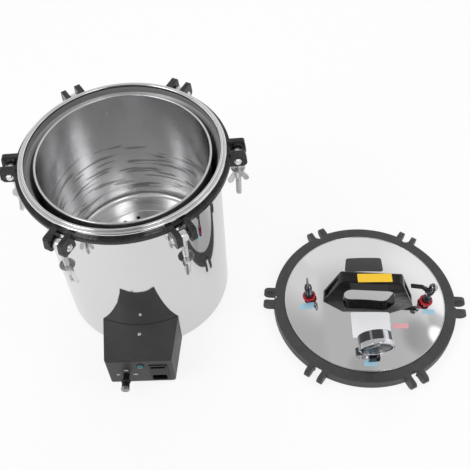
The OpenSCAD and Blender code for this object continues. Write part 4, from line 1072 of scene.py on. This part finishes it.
def room_light(strength):
    """White to the camera, soft boxes to shiny surfaces and an even light to the rest."""
    world = bpy.data.worlds.new("Studio")
    world.use_nodes = True
    tree = world.node_tree
    tree.nodes.clear()
    path = put(tree, "ShaderNodeLightPath").outputs
    ahead = put(tree, "ShaderNodeTexCoord").outputs["Generated"]
    tone = span(tree, axes(tree, ahead)[2], 0.4, 0.95, *ROOM_TONES, "SMOOTHSTEP")
    for box in SOFT_BOXES:
        tone = soft_box(tree, ahead, tone, *box)
    mirrored, even, plain = [
        put(tree, "ShaderNodeBackground", {"Color": WHITE, "Strength": level}).outputs[0]
        for level in (calc(tree, "MAXIMUM", tone, DARKEST), strength, 1.0)]
    straight = calc(tree, "MAXIMUM", path["Is Camera Ray"], path["Is Transmission Ray"])
    lit = mix_shaders(tree, path["Is Glossy Ray"], even, mirrored)
    put(tree, "ShaderNodeOutputWorld", {0: mix_shaders(tree, straight, lit, plain)})
    return world


# Lamps: place and what it is aimed at in metres, size in metres, power in watts
PANELS = (("left panel", (-1.3, -0.7, 1.6), (0.1, 0, 0.2), (1.0, 1.4), 16),
          ("right panel", (1.7, -0.3, 1.5), (0.2, 0, 0.2), (0.8, 1.2), 10),
          ("back panel", (0.1, 1.4, 1.7), (0.1, 0, 0.2), (1.6, 0.7), 10))


def hang_panel(name, spot, aim, size, power):
    lamp = bpy.data.lights.new(name, "AREA")
    lamp.shape = "RECTANGLE"
    lamp.size, lamp.size_y = size
    lamp.energy = power
    holder = new_object(name, lamp)
    holder.visible_glossy = False
    holder.location = spot
    away = Vector(aim) - Vector(spot)
    holder.rotation_euler = away.to_track_quat("-Z", "Y").to_euler()


def set_camera(setup):
    lens = bpy.data.cameras.new("Camera")
    lens.sensor_fit = "HORIZONTAL"
    lens.sensor_width = 36.0
    lens.lens = setup.lens
    camera = new_object("Camera", lens)
    ahead = Vector((0, math.cos(setup.pitch), -math.sin(setup.pitch)))
    right = Vector((1, 0, 0))
    up = right.cross(ahead)
    x_axis = right * math.cos(setup.roll) + up * math.sin(setup.roll)
    y_axis = up * math.cos(setup.roll) - right * math.sin(setup.roll)
    pose = Matrix((x_axis, y_axis, -ahead)).transposed().to_4x4()
    pose.translation = Vector(setup.place)
    camera.matrix_world = pose
    return camera


# Corners in metres: the floor, and the card that stands right of the pot
FLOOR = ((-30, -30, 0), (30, -30, 0), (30, 30, 0), (-30, 30, 0))
CARD = ((0.2, -0.32, 0.03), (0.2, 0.42, 0.03), (0.2, 0.42, 0.6), (0.2, -0.32, 0.6))


class STERILISER_OT_studio(bpy.types.Operator):
    """Sets the pale floor, the soft light and the camera"""
    bl_idname = "steriliser.studio"
    bl_label = "Floor, light and camera"

    def execute(self, context):
        setup = chosen("studio")
        scene = context.scene
        scene.view_settings.view_transform = "Standard"
        floor = stage_sheet("floor", FLOOR, floor_finish(), (0, 0, 1))
        card = stage_sheet("reflector_card", CARD, card_finish(), (1, 0, 0))
        card.visible_camera = card.visible_diffuse = card.visible_shadow = False
        card.visible_transmission = False
        scene.world = room_light(setup.light)
        for panel in PANELS:
            hang_panel(*panel)
        scene.camera = set_camera(setup)
        return {"FINISHED"}


class STERILISER_PT_pieces(bpy.types.Panel):
    """Lists the pieces of the steriliser"""
    bl_idname = "STERILISER_PT_pieces"
    bl_label = "Steam steriliser"
    bl_space_type = "VIEW_3D"
    bl_region_type = "UI"
    bl_category = "Steriliser"

    def draw(self, context):
        layout = self.layout
        for name, group in SETTINGS:
            box = layout.box()
            for key in group.__annotations__:
                box.prop(chosen(name), key)
        for step in STEPS:
            layout.operator(step.bl_idname)


STEPS = (STERILISER_OT_studio, STERILISER_OT_finishes, STERILISER_OT_swing_bolts,
         STERILISER_OT_knob_scale, STERILISER_OT_gauge_face, STERILISER_OT_gauge_body,
         STERILISER_OT_dome_seam, STERILISER_OT_labels)


def register():
    for name, group in SETTINGS:
        bpy.utils.register_class(group)
        setattr(bpy.types.Scene, "steriliser_" + name, bpy.props.PointerProperty(type=group))
    for step in STEPS:
        bpy.utils.register_class(step)
    bpy.utils.register_class(STERILISER_PT_pieces)


def unregister():
    bpy.utils.unregister_class(STERILISER_PT_pieces)
    for step in reversed(STEPS):
        bpy.utils.unregister_class(step)
    for name, group in reversed(SETTINGS):
        delattr(bpy.types.Scene, "steriliser_" + name)
        bpy.utils.unregister_class(group)


def main():
    register()
    bpy.ops.steriliser.studio()
    bpy.ops.steriliser.finishes()
    bpy.ops.steriliser.swing_bolts()
    bpy.ops.steriliser.knob_scale()
    bpy.ops.steriliser.gauge_face()
    bpy.ops.steriliser.gauge_body()
    bpy.ops.steriliser.dome_seam()
    bpy.ops.steriliser.labels()


if __name__ == "__main__":
    main()
